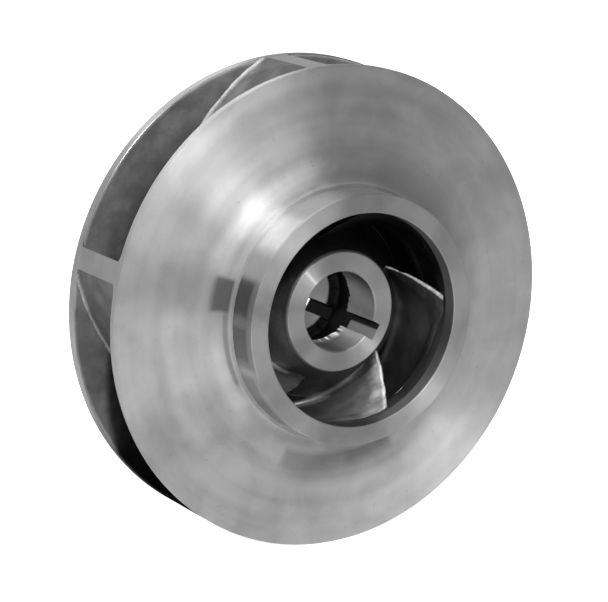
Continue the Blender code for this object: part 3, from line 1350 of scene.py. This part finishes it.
    def burr(self, mesh: bpy.types.Mesh) -> np.ndarray:
        """Share of the burr where the lower bore breaks out into the rough core.

        Args:
            mesh: The piece's mesh.

        Returns:
            The share at each vertex.
        """
        radius, height, angle = turned_places(mesh)
        share = stray_shares(np.radians(angle))
        reach = self.land_stray / self.stray_depth * share
        depth = (height - self.front_land - self.land_stray * share) / (1.0 - reach)
        near = ramp(self.burr_width - depth, self.burr_width) * (depth > -0.0002)
        uneven = np.clip(self.burr_even + self.burr_uneven * share, self.burr_least, 1.0)
        on_bore = np.abs(radius - self.bore_radius) < PICK
        return near * uneven * sector(angle, *self.burr_sector) * on_bore

    def raise_burr(self, mesh: bpy.types.Mesh) -> None:
        """Lift the burr into the bore.

        Args:
            mesh: The piece's mesh.
        """
        for vertex, share in zip(mesh.vertices, self.burr(mesh)):
            if share > 0.0:
                scale = 1.0 - share * self.burr_rise / self.bore_radius
                vertex.co.x *= scale
                vertex.co.z *= scale

    def painted_passage_shade(self, mesh: bpy.types.Mesh) -> np.ndarray:
        """Painted shade of the flare, and of the core, which is painted black.

        Args:
            mesh: The piece's mesh.

        Returns:
            The painted shade of each vertex.
        """
        radius, _, angle = turned_places(mesh)
        stain = PaintedPassageShade().on(mesh) + self.painted_lower_shade.on(radius, angle)
        in_core = radius < self.cored_radius + self.core_slack
        return np.where(in_core, BLACKEST, np.minimum(stain, BLACKEST))

    def painted_light_and_shade(self, mesh: bpy.types.Mesh) -> np.ndarray:
        """Painted shadow and shade in the bore and its keyway, below zero where painted highlights
        brighten the metal.

        Args:
            mesh: The piece's mesh.

        Returns:
            The painted light and shade of each vertex.
        """
        radius, height, angle = turned_places(mesh)
        front, bore = self.front_height, self.bore_radius
        across = radius * np.sin(np.radians(angle) - Keyway().angle)
        in_rear = height < self.rear_land + self.rear_reach
        in_front = height > self.rear_land + self.core_reach
        key = (radius > bore + self.key_slack) & (radius < self.cored_radius)
        key &= (np.abs(across) < self.key_half) & (height > self.rear_reach)
        key &= height < front - EDGE_PICK
        shadow = self.key_dark * ramp(across - self.key_dark_start, self.key_dark_blur)
        # Painted shadow of the keyway's upper wall, and painted black in the rear notch.
        painted_bore_light = key * np.maximum(in_rear * BLACKEST, shadow)
        land = (radius < bore + PICK) & in_front & (height < front - 0.9 * EDGE_STEP)
        land &= angle < self.land_end
        forward = (height - self.front_land) / (front - self.front_land)
        started = angle - self.land_start + self.land_lean * forward
        painted_bore_light += land * self.land_dark * ramp(started, self.land_blur)
        lift = ramp(bore - radius, self.burr_full * self.burr_rise)
        painted_bore_light -= self.burr_bright * lift * ((radius < bore + PICK) & in_front)
        painted_bore_light -= self.rear_bright * ((radius < bore + PICK) & in_rear)
        face = (height > front - 0.5 * PICK) & (radius < self.face_radius)
        painted_bore_light += face * self.painted_face_highlight.on(radius, angle)
        # Painted black in the rough core.
        core = touches(mesh, Zone.CAST) & (radius < self.cored_radius + self.core_slack)
        return np.where(core, BLACKEST, painted_bore_light)

    def keyway_points(self, points: list[Point]) -> dict[int, float]:
        """Profile points that the keyway cuts.

        Args:
            points: The hub's profile.

        Returns:
            The keyway's widening at each of those points.
        """
        cut = {}
        for index, (radius, height) in enumerate(points):
            if radius <= self.cored_radius - PICK:
                cut[index] = self.key_break if height == self.front_height else 0.0
                if height < self.front_land - self.key_narrow_from:
                    cut[index] = self.key_narrowing
        return cut

    def ragged_edge(self, points: list[Point]) -> dict[int, float]:
        """Profile points where the bore breaks out into the rough core.

        Args:
            points: The hub's profile.

        Returns:
            How far the edge strays at each of those points.
        """
        edges = (
            (self.front_land, self.land_stray, self.stray_depth),
            (self.rear_land, self.rear_stray, self.rear_stray_depth),
        )
        strays = {}
        for index, (radius, height) in enumerate(points):
            for land, stray, depth in edges:
                from_edge = abs(height - land)
                if radius < self.cored_radius + PICK and from_edge < depth:
                    strays[index] = stray * (1.0 - from_edge / depth)
        return strays


@dataclass(frozen=True)
class VaneMarks:
    """Worn and ground places of one vane, with painted sheen, shade and glints.

    A share is of the way from inlet to tip. The toe is the ground line along the foot of the inlet
    fillet, which also carries a painted highlight.
    """

    painted_sheen: float
    glinting_wear: float = 0.0
    scuff_and_glint: float = 0.0
    toe: float = 0.0
    toe_reach: Point = (0.0, 0.0)
    toe_rise: float = 0.0
    toe_width: float = 0.0024
    toe_depth: float = 0.0045
    toe_climb: float = 0.0030
    toe_climb_share: float = 0.25
    toe_climb_run: float = 0.08
    toe_fade_in: float = 0.03
    toe_fade_out: float = 0.08
    toe_wear_and_glint: float = 1.6
    toe_highlight: float = 2.4
    corner_share: float = 0.0012
    corner_width: float = 0.0017
    corner_wear_and_glint: float = 1.2
    nose_end: float = 1.4
    nose_share: float = 0.010
    nose_wear_and_glint: float = 0.36
    tip_wear_and_glint: float = 0.47
    tip_blur: float = 0.001
    tip_start: float = 0.5
    tip_fade_in: float = 0.15
    sheen_share: float = 0.30
    sheen_gain: float = 2.6
    sheen_blur: float = 0.002

    def toe_height(self, share: np.ndarray) -> np.ndarray:
        """Distance from the hub at which the toe runs."""
        climb = ramp(self.toe_climb_share - share, self.toe_climb_run)
        return self.toe_depth + self.toe_climb * climb

    def toe_line(self, share: np.ndarray, from_hub: np.ndarray) -> np.ndarray:
        """Strength of the toe at each vertex.

        Args:
            share: Share of the way from inlet to tip.
            from_hub: Distance from the hub's wall.

        Returns:
            The strength at each vertex.
        """
        start, end = self.toe_reach
        away = (from_hub - self.toe_height(share) - self.toe_rise) / self.toe_width
        reach = ramp(share - start, self.toe_fade_in) * ramp(end - share, self.toe_fade_out)
        return self.toe * reach * np.exp(-(away**2))

    def wear(
        self, share: np.ndarray, side: np.ndarray, from_hub: np.ndarray, from_tip_toe: np.ndarray
    ) -> np.ndarray:
        """Wear at the nose and along the ground edges of the fillets, which also paints the glints
        along these edges.

        Args:
            share: Share of the way from inlet to tip.
            side: Side of the vane, 1 or -1.
            from_hub: Distance from the hub's wall.
            from_tip_toe: Distance outwards from the edge of the tip's fillets.

        Returns:
            The wear of each vertex.
        """
        off_corner = (share - self.corner_share) / self.corner_width
        corner = self.corner_wear_and_glint * self.glinting_wear * np.exp(-(off_corner**2))
        corner *= (side > 0) | (share < 0.0003)
        nose = np.clip(self.nose_end - share / self.nose_share, 0.0, 1.0)
        nose *= self.nose_wear_and_glint * self.scuff_and_glint
        tip = ramp(from_tip_toe + self.tip_blur, self.tip_blur)
        tip *= self.tip_wear_and_glint * ramp(share - self.tip_start, self.tip_fade_in)
        return np.max([corner, nose, self.toe_wear_and_glint * self.toe_line(share, from_hub), tip], axis=0)

    def stain(self, share: np.ndarray, from_hub: np.ndarray, usual: np.ndarray) -> np.ndarray:
        """Painted shade of the vane, with painted sheen where the value is high and the toe's
        painted highlight.

        Args:
            share: Share of the way from inlet to tip.
            from_hub: Distance from the hub's wall.
            usual: The flow passage's painted shade.

        Returns:
            The painted light and shade of each vertex.
        """
        sheen = self.painted_sheen * ramp(self.sheen_share - share, self.sheen_share)
        if self.painted_sheen > 0.0:
            sheen = sheen * ramp(from_hub - self.toe_height(share), self.sheen_blur)
        stain = np.minimum(usual - self.sheen_gain * sheen, BLACKEST)
        return stain - self.toe_highlight * self.toe_line(share, from_hub)


@dataclass
class VaneSet:
    """Five backward-curved vanes with fillets, twisted at their inlet."""

    tip_radius: float = 0.15
    tip_angle: float = 93.1
    thickness: float = 0.0052
    outlet_angle: float = 22.5
    wrap_hub: float = 150.0
    wrap_slope: float = -29.3
    wrap_bend: float = 3.4
    spiral_power: float = 3.0
    nose_length: float = 0.0035
    fillet: float = 0.0065
    tip_fillet: float = 0.0022
    fillet_run: float = 0.022
    sunk: float = 0.0006
    hub_start: float = 0.0709
    shroud_start: float = 0.0963
    stations: int = 120
    rows: int = 30
    usual_span: float = 0.045
    lumps: float = 1.6
    lump_share: float = 0.09
    plain_tip_share: float = 0.03
    blank_thickness: float = 0.002
    fillet_change: tuple = (0.15, 0.7)
    sharp_angle: float = 40.0
    # Per vane: painted sheen, or painted shade below zero; wear and glints at the corner and nose;
    # the toe's strength, reach and rise.
    marks: tuple[VaneMarks, ...] = (
        VaneMarks(0.10, 0.3, 0.5, 0.7, (0.005, 0.14), -0.0035),
        VaneMarks(0.46, 0.66, 0.45, 1.0, (0.14, 0.42), 0.0007),
        VaneMarks(-0.04, 0.62, 0.0, 0.15, (0.08, 0.40)),
        VaneMarks(-0.60),
        VaneMarks(-0.50),
    )

    def shares(self) -> list[float]:
        """Shares of the way from inlet to tip, close together at the nose.

        Returns:
            The shares.
        """
        nose = [0.0, 0.0005, 0.002, 0.0045, 0.008, 0.0125, 0.018, 0.025, 0.033, 0.042]
        count = self.stations
        return nose + [nose[-1] + (1 - nose[-1]) * (i + 1) / count for i in range(count)]

    def row_shares(self) -> list[float]:
        """Shares of the way across a vane from the hub, close together in the fillets.

        Returns:
            The shares.
        """
        near = [0.0, 0.0006, 0.0010, 0.0016, 0.0023, 0.0031, 0.0040, 0.0051, 0.0062, 0.0074]
        low = [depth / self.usual_span for depth in near]
        middle = [low[-1] + (1 - 2 * low[-1]) * (i + 1) / self.rows for i in range(self.rows - 1)]
        return low + middle + [1 - share for share in reversed(low)]

    def blank(self, name: str) -> bpy.types.Object:
        """Flat blank of a vane, whose points carry their share, row and side.

        Args:
            name: Name of the blank.

        Returns:
            The blank, to be bent into a vane.
        """
        shares, rows = self.shares(), self.row_shares()
        last, top = len(shares) - 1, len(rows) - 1
        points = []
        grid = {}
        for side in (1, -1):
            for step, share in enumerate(shares):
                for line, row in enumerate(rows):
                    if step == 0 and side < 0:
                        grid[side, step, line] = grid[1, 0, line]
                        continue
                    grid[side, step, line] = len(points)
                    points.append((share, row, side))
        faces = []
        for step in range(last):
            ahead = step + 1
            for line in range(top):
                near = ((step, line), (ahead, line), (ahead, line + 1), (step, line + 1))
                faces.append([grid[1, *place] for place in near])
                faces.append([grid[-1, *place] for place in reversed(near)])
            for line in (0, top):
                edge = ((1, step), (-1, step), (-1, ahead), (1, ahead))
                edge = list(dict.fromkeys(grid[*place, line] for place in edge))
                faces.append(edge if line == 0 else edge[::-1])
        is_tip = np.zeros(len(faces) + top)
        is_tip[len(faces) :] = 1.0
        for line in range(top):
            tip = ((1, line), (-1, line), (-1, line + 1), (1, line + 1))
            faces.append([grid[side, last, row] for side, row in tip])
        mesh = bpy.data.meshes.new(name)
        flat = [(share, row, 0.5 * self.blank_thickness * side) for share, row, side in points]
        mesh.from_pydata(flat, [], faces)
        for label, values in zip(("share", "row", "side"), np.array(points).T):
            store(mesh, label, values)
        store(mesh, "tip", is_tip, "FACE")
        mesh.polygons.foreach_set("use_smooth", np.ones(len(faces), bool))
        return new_object(name, mesh)

    @staticmethod
    def wall_curve(name: str, line: list[Point]) -> bpy.types.Object:
        """Curve object that follows a wall, with radius along X and height along Z.

        Args:
            name: Name of the curve.
            line: The wall's points.

        Returns:
            The curve object.
        """
        curve = bpy.data.curves.new(name, "CURVE")
        curve.dimensions = "3D"
        spline = curve.splines.new("POLY")
        spline.points.add(len(line) - 1)
        for point, (radius, height) in zip(spline.points, line):
            point.co = (radius, 0.0, height, 1.0)
        return new_object(name, curve)

    def walls(self, passage: Passage) -> dict[str, bpy.types.Object]:
        """Curves of the two walls, sunk a little into the metal, by their inputs' names.

        Args:
            passage: Walls of the flow passage.

        Returns:
            The curve objects.
        """
        hub = below(passage.hub_line(), self.hub_start)
        shroud = below(passage.shroud_line(), self.shroud_start)
        walls = {}
        for label, line, depth in (("Hub", hub, -self.sunk), ("Shroud", shroud, self.sunk)):
            moved = []
            for index, point in enumerate(line):
                before, after = line[max(index - 1, 0)], line[min(index + 1, len(line) - 1)]
                along = Vector((after[0] - before[0], after[1] - before[1])).normalized()
                moved.append((point[0] - along.y * depth, point[1] + along.x * depth))
            moved[-1] = (self.tip_radius, moved[-1][1])
            walls[label + " wall"] = self.wall_curve(label.lower() + "_wall", moved)
        return walls

    def bending_tree(self) -> bpy.types.NodeTree:
        """Geometry tree that bends a flat blank into a vane between the two walls.

        Returns:
            The tree.
        """
        sizes = {
            "Tip angle": 0.0,
            "Tip radius": self.tip_radius,
            "Outlet angle": self.outlet_angle,
            "Thickness": self.thickness,
            "Nose length": self.nose_length,
            "Inlet fillet": self.fillet,
            "Tip fillet": self.tip_fillet,
            "Fillet run": self.fillet_run,
            "Sunk depth": self.sunk,
            "Hub wrap": self.wrap_hub,
            "Wrap slope": self.wrap_slope,
            "Wrap bend": self.wrap_bend,
            "Spiral power": self.spiral_power,
            "Middle height": MIDDLE_HEIGHT,
        }
        inputs = [("Geometry", "Geometry", None)]
        inputs += [("Hub wall", "Object", None), ("Shroud wall", "Object", None)]
        inputs += [(name, "Float", size) for name, size in sizes.items()]
        inputs += [("Cast finish", "Material", None), ("Tip finish", "Material", None)]
        outputs = [("Geometry", "Geometry")]
        sheet, source, sink = new_tree("vane bending", "GeometryNodeTree", inputs, outputs)
        value = source.outputs
        share, row, side = (self.attribute(sheet, name) for name in ("share", "row", "side"))
        hub, hub_length = self.sample_wall(sheet, value["Hub wall"], share)
        shroud, shroud_length = self.sample_wall(sheet, value["Shroud wall"], share)
        across = sheet.vector("SUBTRACT", shroud, hub)
        span = sheet.fed("ShaderNodeVectorMath", (across,), operation="LENGTH").outputs["Value"]
        radius, _, height = sheet.parts(sheet.vector("ADD", hub, sheet.scaled(across, row)))
        longer = sheet.math("SUBTRACT", shroud_length, hub_length)
        length = sheet.math("MULTIPLY_ADD", longer, row, hub_length)
        angle, rate = self.spiral(sheet, value, share, row, length)
        lean = sheet.math("MULTIPLY", radius, rate)
        stretch = sheet.math("SQRT", sheet.math("MULTIPLY_ADD", lean, lean, 1.0))
        travelled = sheet.math("MULTIPLY", sheet.math("MULTIPLY", share, length), stretch)
        depth = self.fillet_width(sheet, value, share, row, span)
        gone = sheet.math("DIVIDE", travelled, value["Fillet run"])
        depth = sheet.math("MULTIPLY", depth, sheet.span(gone, 0.0, 1.0))
        half = sheet.math("ADD", sheet.math("MULTIPLY", value["Thickness"], 0.5), depth)
        half = sheet.math("MULTIPLY", half, self.fullness(sheet, travelled, value["Nose length"]))
        half = sheet.math("DIVIDE", sheet.math("MULTIPLY", half, stretch), radius)
        angle = sheet.math("MULTIPLY_ADD", side, half, angle)
        place = sheet.joined(
            sheet.math("MULTIPLY", radius, sheet.math("COSINE", angle)),
            sheet.math("SUBTRACT", value["Middle height"], height),
            sheet.math("MULTIPLY", radius, sheet.math("SINE", angle)),
        )
        moved = sheet.add("GeometryNodeSetPosition")
        sheet.fill(moved, {"Geometry": value["Geometry"], "Position": place})
        solid = sheet.fed("GeometryNodeRealizeInstances", (moved.outputs[0],))
        skin = sheet.add("GeometryNodeSetMaterial")
        sheet.fill(skin, {"Geometry": solid.outputs[0], "Material": value["Cast finish"]})
        is_tip = sheet.math("GREATER_THAN", self.attribute(sheet, "tip"), 0.5)
        tip = sheet.add("GeometryNodeSetMaterial")
        sheet.fill(tip, {"Geometry": skin.outputs[0], "Material": value["Tip finish"]})
        sheet.feed(tip.inputs["Selection"], is_tip)
        sheet.feed(sink.inputs[0], tip.outputs[0])
        return sheet.tree

    @staticmethod
    def attribute(sheet: Sheet, name: str) -> Socket:
        """Output of a named attribute of the blank."""
        node = sheet.add("GeometryNodeInputNamedAttribute", data_type="FLOAT")
        return sheet.fill(node, {"Name": name}).outputs[0]

    @staticmethod
    def sample_wall(sheet: Sheet, wall: Socket, share: Socket) -> tuple[Socket, Socket]:
        """Place on a wall and length of the wall.

        Args:
            sheet: The tree's sheet.
            wall: The wall's curve object.
            share: Share of the way along the wall.

        Returns:
            The place and the length.
        """
        info = sheet.add("GeometryNodeObjectInfo", transform_space="ORIGINAL")
        curve = sheet.fill(info, {"Object": wall}).outputs["Geometry"]
        sample = sheet.add("GeometryNodeSampleCurve", mode="FACTOR", use_all_curves=False)
        sheet.fill(sample, {"Curves": curve, "Factor": share})
        length = sheet.fed("GeometryNodeCurveLength", (curve,))
        return sample.outputs["Position"], length.outputs[0]

    @staticmethod
    def spiral(
        sheet: Sheet,
        value: bpy.types.bpy_prop_collection,
        share: Socket,
        row: Socket,
        length: Socket,
    ) -> tuple[Socket, Socket]:
        """Angle of the vane's middle round the axis, steady at the tip and steeper inside.

        Args:
            sheet: The tree's sheet.
            value: The tree's inputs.
            share: Share of the way from inlet to tip.
            row: Share of the way from hub to shroud.
            length: Length of the way from inlet to tip.

        Returns:
            The angle, and how fast it changes with the way.
        """
        slope = sheet.math("MULTIPLY_ADD", value["Wrap bend"], row, value["Wrap slope"])
        wrap = sheet.math("RADIANS", sheet.math("MULTIPLY_ADD", slope, row, value["Hub wrap"]))
        outlet = sheet.math("TANGENT", sheet.math("RADIANS", value["Outlet angle"]))
        steady = sheet.math("MULTIPLY", value["Tip radius"], outlet)
        steady = sheet.math("DIVIDE", length, steady)
        bend = sheet.math("SUBTRACT", wrap, steady)
        left = sheet.math("SUBTRACT", 1.0, share)
        power = value["Spiral power"]
        tip_angle = sheet.math("RADIANS", value["Tip angle"])
        angle = sheet.math("MULTIPLY_ADD", steady, left, tip_angle)
        angle = sheet.math("MULTIPLY_ADD", bend, sheet.math("POWER", left, power), angle)
        tighter = sheet.math("POWER", left, sheet.math("SUBTRACT", power, 1.0))
        tighter = sheet.math("MULTIPLY", sheet.math("MULTIPLY", bend, power), tighter)
        return angle, sheet.math("DIVIDE", sheet.math("ADD", tighter, steady), length)

    @staticmethod
    def fullness(sheet: Sheet, travelled: Socket, nose: Socket) -> Socket:
        """Share of the full width, which grows along the round nose.

        Args:
            sheet: The tree's sheet.
            travelled: Distance from the nose.
            nose: Length of the nose.

        Returns:
            The share.
        """
        before = sheet.math("SUBTRACT", 1.0, sheet.math("DIVIDE", travelled, nose))
        before = sheet.math("MAXIMUM", before, 0.0)
        fullness = sheet.math("SUBTRACT", 1.0, sheet.math("MULTIPLY", before, before))
        return sheet.math("SQRT", sheet.math("MAXIMUM", fullness, 0.0))

    def fillet_width(
        self,
        sheet: Sheet,
        value: bpy.types.bpy_prop_collection,
        share: Socket,
        row: Socket,
        span: Socket,
    ) -> Socket:
        """Extra half width that the fillets give a vane close to each wall.

        Args:
            sheet: The tree's sheet.
            value: The tree's inputs.
            share: Share of the way from inlet to tip.
            row: Share of the way from hub to shroud.
            span: Distance between the walls.

        Returns:
            The extra half width.
        """
        sizes = (value["Inlet fillet"], value["Tip fillet"])
        fillet = sheet.span(share, *self.fillet_change, *sizes)
        other = sheet.math("SUBTRACT", 1.0, row)
        nearest = sheet.math("MULTIPLY", sheet.math("MINIMUM", row, other), span)
        free = sheet.math("MAXIMUM", sheet.math("SUBTRACT", nearest, value["Sunk depth"]), 0.0)
        short = sheet.math("MAXIMUM", sheet.math("SUBTRACT", fillet, free), 0.0)
        square = sheet.math("MULTIPLY", fillet, fillet)
        root = sheet.math("SUBTRACT", square, sheet.math("MULTIPLY", short, short))
        return sheet.math("SUBTRACT", fillet, sheet.math("SQRT", root))

    def build(self, passage: Passage, finishes: Finishes) -> list[bpy.types.Object]:
        """Build the vanes and dress them.

        Args:
            passage: Walls of the flow passage.
            finishes: Materials by name.

        Returns:
            The finished vanes, in order.
        """
        tree = self.bending_tree()
        sockets = {item.name: item.identifier for item in tree.interface.items_tree[1:]}
        walls = self.walls(passage)
        values = {**walls, "Cast finish": finishes["cast"], "Tip finish": finishes["rim"]}
        vanes = []
        for index in range(len(self.marks)):
            blank = self.blank("vane_blank")
            modifier = blank.modifiers.new("Bending", "NODES")
            modifier.node_group = tree
            values["Tip angle"] = self.tip_angle + 360.0 / len(self.marks) * index
            for name, value in values.items():
                modifier[sockets[name]] = value
            vanes.append(self.finish(blank, index))
        for wall in walls.values():
            bpy.data.objects.remove(wall)
        return vanes

    def finish(self, blank: bpy.types.Object, index: int) -> bpy.types.Object:
        """Turn a bent blank into a plain mesh with its skin, its wear and glints, and its painted
        light and shade.

        Args:
            blank: Blank with its bending modifier.
            index: Place of the vane in the set.

        Returns:
            The finished vane.
        """
        depsgraph = bpy.context.evaluated_depsgraph_get()
        mesh = bpy.data.meshes.new_from_object(blank.evaluated_get(depsgraph))
        mesh.name = "vane_" + str(index + 1) + "_cast"
        bpy.data.objects.remove(blank)
        share, row, side = (np.zeros(len(mesh.vertices), np.float32) for _ in range(3))
        for label, values in (("share", share), ("row", row), ("side", side)):
            mesh.attributes[label].data.foreach_get("value", values)
        lumps = 1.0 + self.lumps * ramp(self.lump_share - share, self.lump_share)
        CastSkin().apply(mesh, lumps * ramp(1.0 - share, self.plain_tip_share))
        marks = self.marks[index]
        from_hub = row * self.usual_span
        from_wall = np.minimum(row, 1 - row) * self.usual_span
        from_tip_toe = self.sunk + self.tip_fillet - from_wall
        store(mesh, WEAR_AND_GLINT_MAP, marks.wear(share, side, from_hub, from_tip_toe))
        store(mesh, STAIN_AND_PAINTED_LIGHT_MAP, marks.stain(share, from_hub, PaintedPassageShade().on(mesh)))
        for label in ("share", "row", "side", "tip"):
            mesh.attributes.remove(mesh.attributes[label])
        mesh.set_sharp_from_angle(angle=math.radians(self.sharp_angle))
        return new_object(mesh.name, mesh)


@dataclass(frozen=True)
class Lamp:
    """Square light that faces the impeller, and may light only one piece of it."""

    name: str
    place: tuple
    size: float
    power: float
    only: str = ""


@dataclass
class Studio:
    """Camera at the photograph's viewing angle, pale floor and soft lights."""

    camera_place: tuple = (-0.80714, -1.33629, 0.38214)
    azimuth: float = -30.8427
    elevation: float = 13.7246
    lens: float = 153.95
    film_width: float = 36.0
    sight: float = 50.0
    floor_height: float = -0.150
    floor_size: float = 14.0
    card_radius: float = 0.1510
    card_end: float = 285.0
    card_edge: tuple = ((-0.0142, 192.0), (0.0, 202.0), (0.0340, 216.0))
    card_steps: int = 24
    ambient: float = 0.43
    lamps: tuple[Lamp, ...] = (
        Lamp("key", (-0.58, -1.40, 1.30), 0.7, 13.0),
        Lamp("behind", (1.30, 1.15, -0.05), 0.8, 7.0),
        Lamp("outlet key", (-0.76, -1.40, 1.28), 0.12, 122.0, "back_shroud_turned"),
        Lamp("top", (0.0, -0.60, 1.90), 1.2, 14.0),
        Lamp("upper left", (-1.50, -0.60, 1.20), 1.2, 5.0),
        Lamp("front left", (-0.90, -1.74, 0.40), 1.0, 4.7),
        Lamp("front right", (0.34, -1.96, 0.26), 1.0, 3.1),
        Lamp("low left", (-0.80, -1.70, -0.70), 1.0, 5.5),
        Lamp("left card", (-0.42, -0.35, -0.20), 0.4, 0.28),
        Lamp("front card", (-0.10, -0.30, -0.42), 0.4, 0.35),
        Lamp("right card", (0.22, -0.35, -0.38), 0.4, 0.30),
    )

    def camera(self) -> None:
        """Place the camera."""
        data = bpy.data.cameras.new("camera")
        data.lens = self.lens
        data.sensor_width = self.film_width
        data.clip_end = self.sight
        item = new_object("camera", data)
        item.location = self.camera_place
        item.rotation_euler = (math.radians(90.0 - self.elevation), 0.0, math.radians(self.azimuth))
        bpy.context.scene.camera = item

    @staticmethod
    def prop(
        name: str, points: list[tuple], faces: list[tuple], surface: Surface
    ) -> bpy.types.Object:
        """Make a piece of the studio.

        Args:
            name: Name of the piece.
            points: Its points.
            faces: Its faces.
            surface: Its material.

        Returns:
            The new object.
        """
        mesh = bpy.data.meshes.new(name)
        mesh.from_pydata(points, [], faces)
        mesh.materials.append(surface.material)
        item = new_object(name, mesh)
        return item

    def floor(self) -> None:
        """Lay a pale floor, which only the camera sees."""
        size = self.floor_size
        corners = [(-size, -size), (size, -size), (size, size), (-size, size)]
        points = [(x, y, self.floor_height) for x, y in corners]
        looks = {
            "Base Color": (0.9, 0.9, 0.9, 1.0),
            "Roughness": 0.9,
            "Emission Color": (1.0, 1.0, 1.0, 1.0),
            "Emission Strength": 1.0,
        }
        item = self.prop("floor", points, [(0, 1, 2, 3)], Surface("pale floor", looks))
        item.visible_diffuse = item.visible_glossy = item.visible_shadow = False

    def card(self) -> None:
        """Stand a black card in front of the lower left outlet, to keep light out of it."""
        steps = self.card_steps
        points = []
        faces = []
        for row, (height, start) in enumerate(self.card_edge):
            for step in range(steps + 1):
                angle = math.radians(start + (self.card_end - start) * step / steps)
                x, z = self.card_radius * math.cos(angle), self.card_radius * math.sin(angle)
                points.append((x, height, z))
                if row and step < steps:
                    corner = (row - 1) * (steps + 1) + step
                    faces.append((corner, corner + 1, corner + steps + 2, corner + steps + 1))
        looks = {"Base Color": (0.0, 0.0, 0.0, 1.0), "Roughness": 1.0, "Specular IOR Level": 0.0}
        item = self.prop("black_card", points, faces, Surface("black card", looks))
        item.visible_camera = False

    def hang(self, lamp: Lamp) -> None:
        """Hang one soft light, aimed at the impeller.

        Args:
            lamp: The light's place, size and power.
        """
        data = bpy.data.lights.new(lamp.name, "AREA")
        data.shape = "RECTANGLE"
        data.size = data.size_y = lamp.size
        data.energy = lamp.power
        item = new_object(lamp.name, data)
        item.location = lamp.place
        item.rotation_euler = Vector(lamp.place).to_track_quat("Z", "Y").to_euler()
        item.visible_camera = False
        if lamp.only:
            lit = bpy.data.collections.new(lamp.name)
            lit.objects.link(bpy.data.objects[lamp.only])
            item.light_linking.receiver_collection = lit

    def light(self) -> None:
        """Hang the lights and set the surroundings, which the camera sees as white."""
        world = bpy.data.worlds.new("studio")
        world.use_nodes = True
        sheet = Sheet(world.node_tree)
        seen = sheet.add("ShaderNodeLightPath").outputs["Is Camera Ray"]
        strength = sheet.math("MULTIPLY_ADD", seen, 1.0 - self.ambient, self.ambient)
        values = {"Color": (1.0, 1.0, 1.0, 1.0), "Strength": strength}
        sheet.fill(world.node_tree.nodes["Background"], values)
        bpy.context.scene.world = world
        for lamp in self.lamps:
            self.hang(lamp)

    def build(self) -> None:
        """Set up the whole studio."""
        self.camera()
        self.floor()
        self.card()
        self.light()
        bpy.context.scene.view_settings.view_transform = "Standard"


def make_finishes() -> Finishes:
    """Build the shared groups and every material.

    Returns:
        The materials by name.
    """
    turning_marks()
    cloudy_patina()
    casting_grain()
    return {
        "plate": TurnedFinish("turned plate", streaks=0.8, waver=3.0, clouds=0.9).make(),
        "ring": TurnedFinish("turned ring", dark=0.36, light=0.46, dull=0.46, smooth=0.38).make(),
        "hub": TurnedFinish("turned hub", dark=0.38, light=0.48, dull=0.46, smooth=0.36).make(),
        "rear": TurnedFinish("turned rear").make(),
        "rim": TurnedFinish("turned vane tip", anisotropy=0.0).make(),
        "cast": CastFinish("as cast").make(),
    }


def main() -> None:
    """Build every piece in order and set up the studio."""
    logging.basicConfig(level=logging.INFO, format="%(message)s")
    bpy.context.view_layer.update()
    passage = Passage()
    finishes = make_finishes()
    pieces = []
    for part in (FrontShroud(), EyeRing(), BackShroud(), Hub()):
        pieces.append((part.build(passage, finishes), part.node, "turned_steel"))
    for index, vane in enumerate(VaneSet().build(passage, finishes)):
        pieces.append((vane, "vane_" + str(index + 1), "cast_steel"))
    for piece, node, slot in pieces:
        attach(piece, "root")
        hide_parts(node)
        LOG.info("%s: %d faces", piece.name, len(piece.data.polygons))
    Studio().build()


if __name__ == "__main__":
    main()
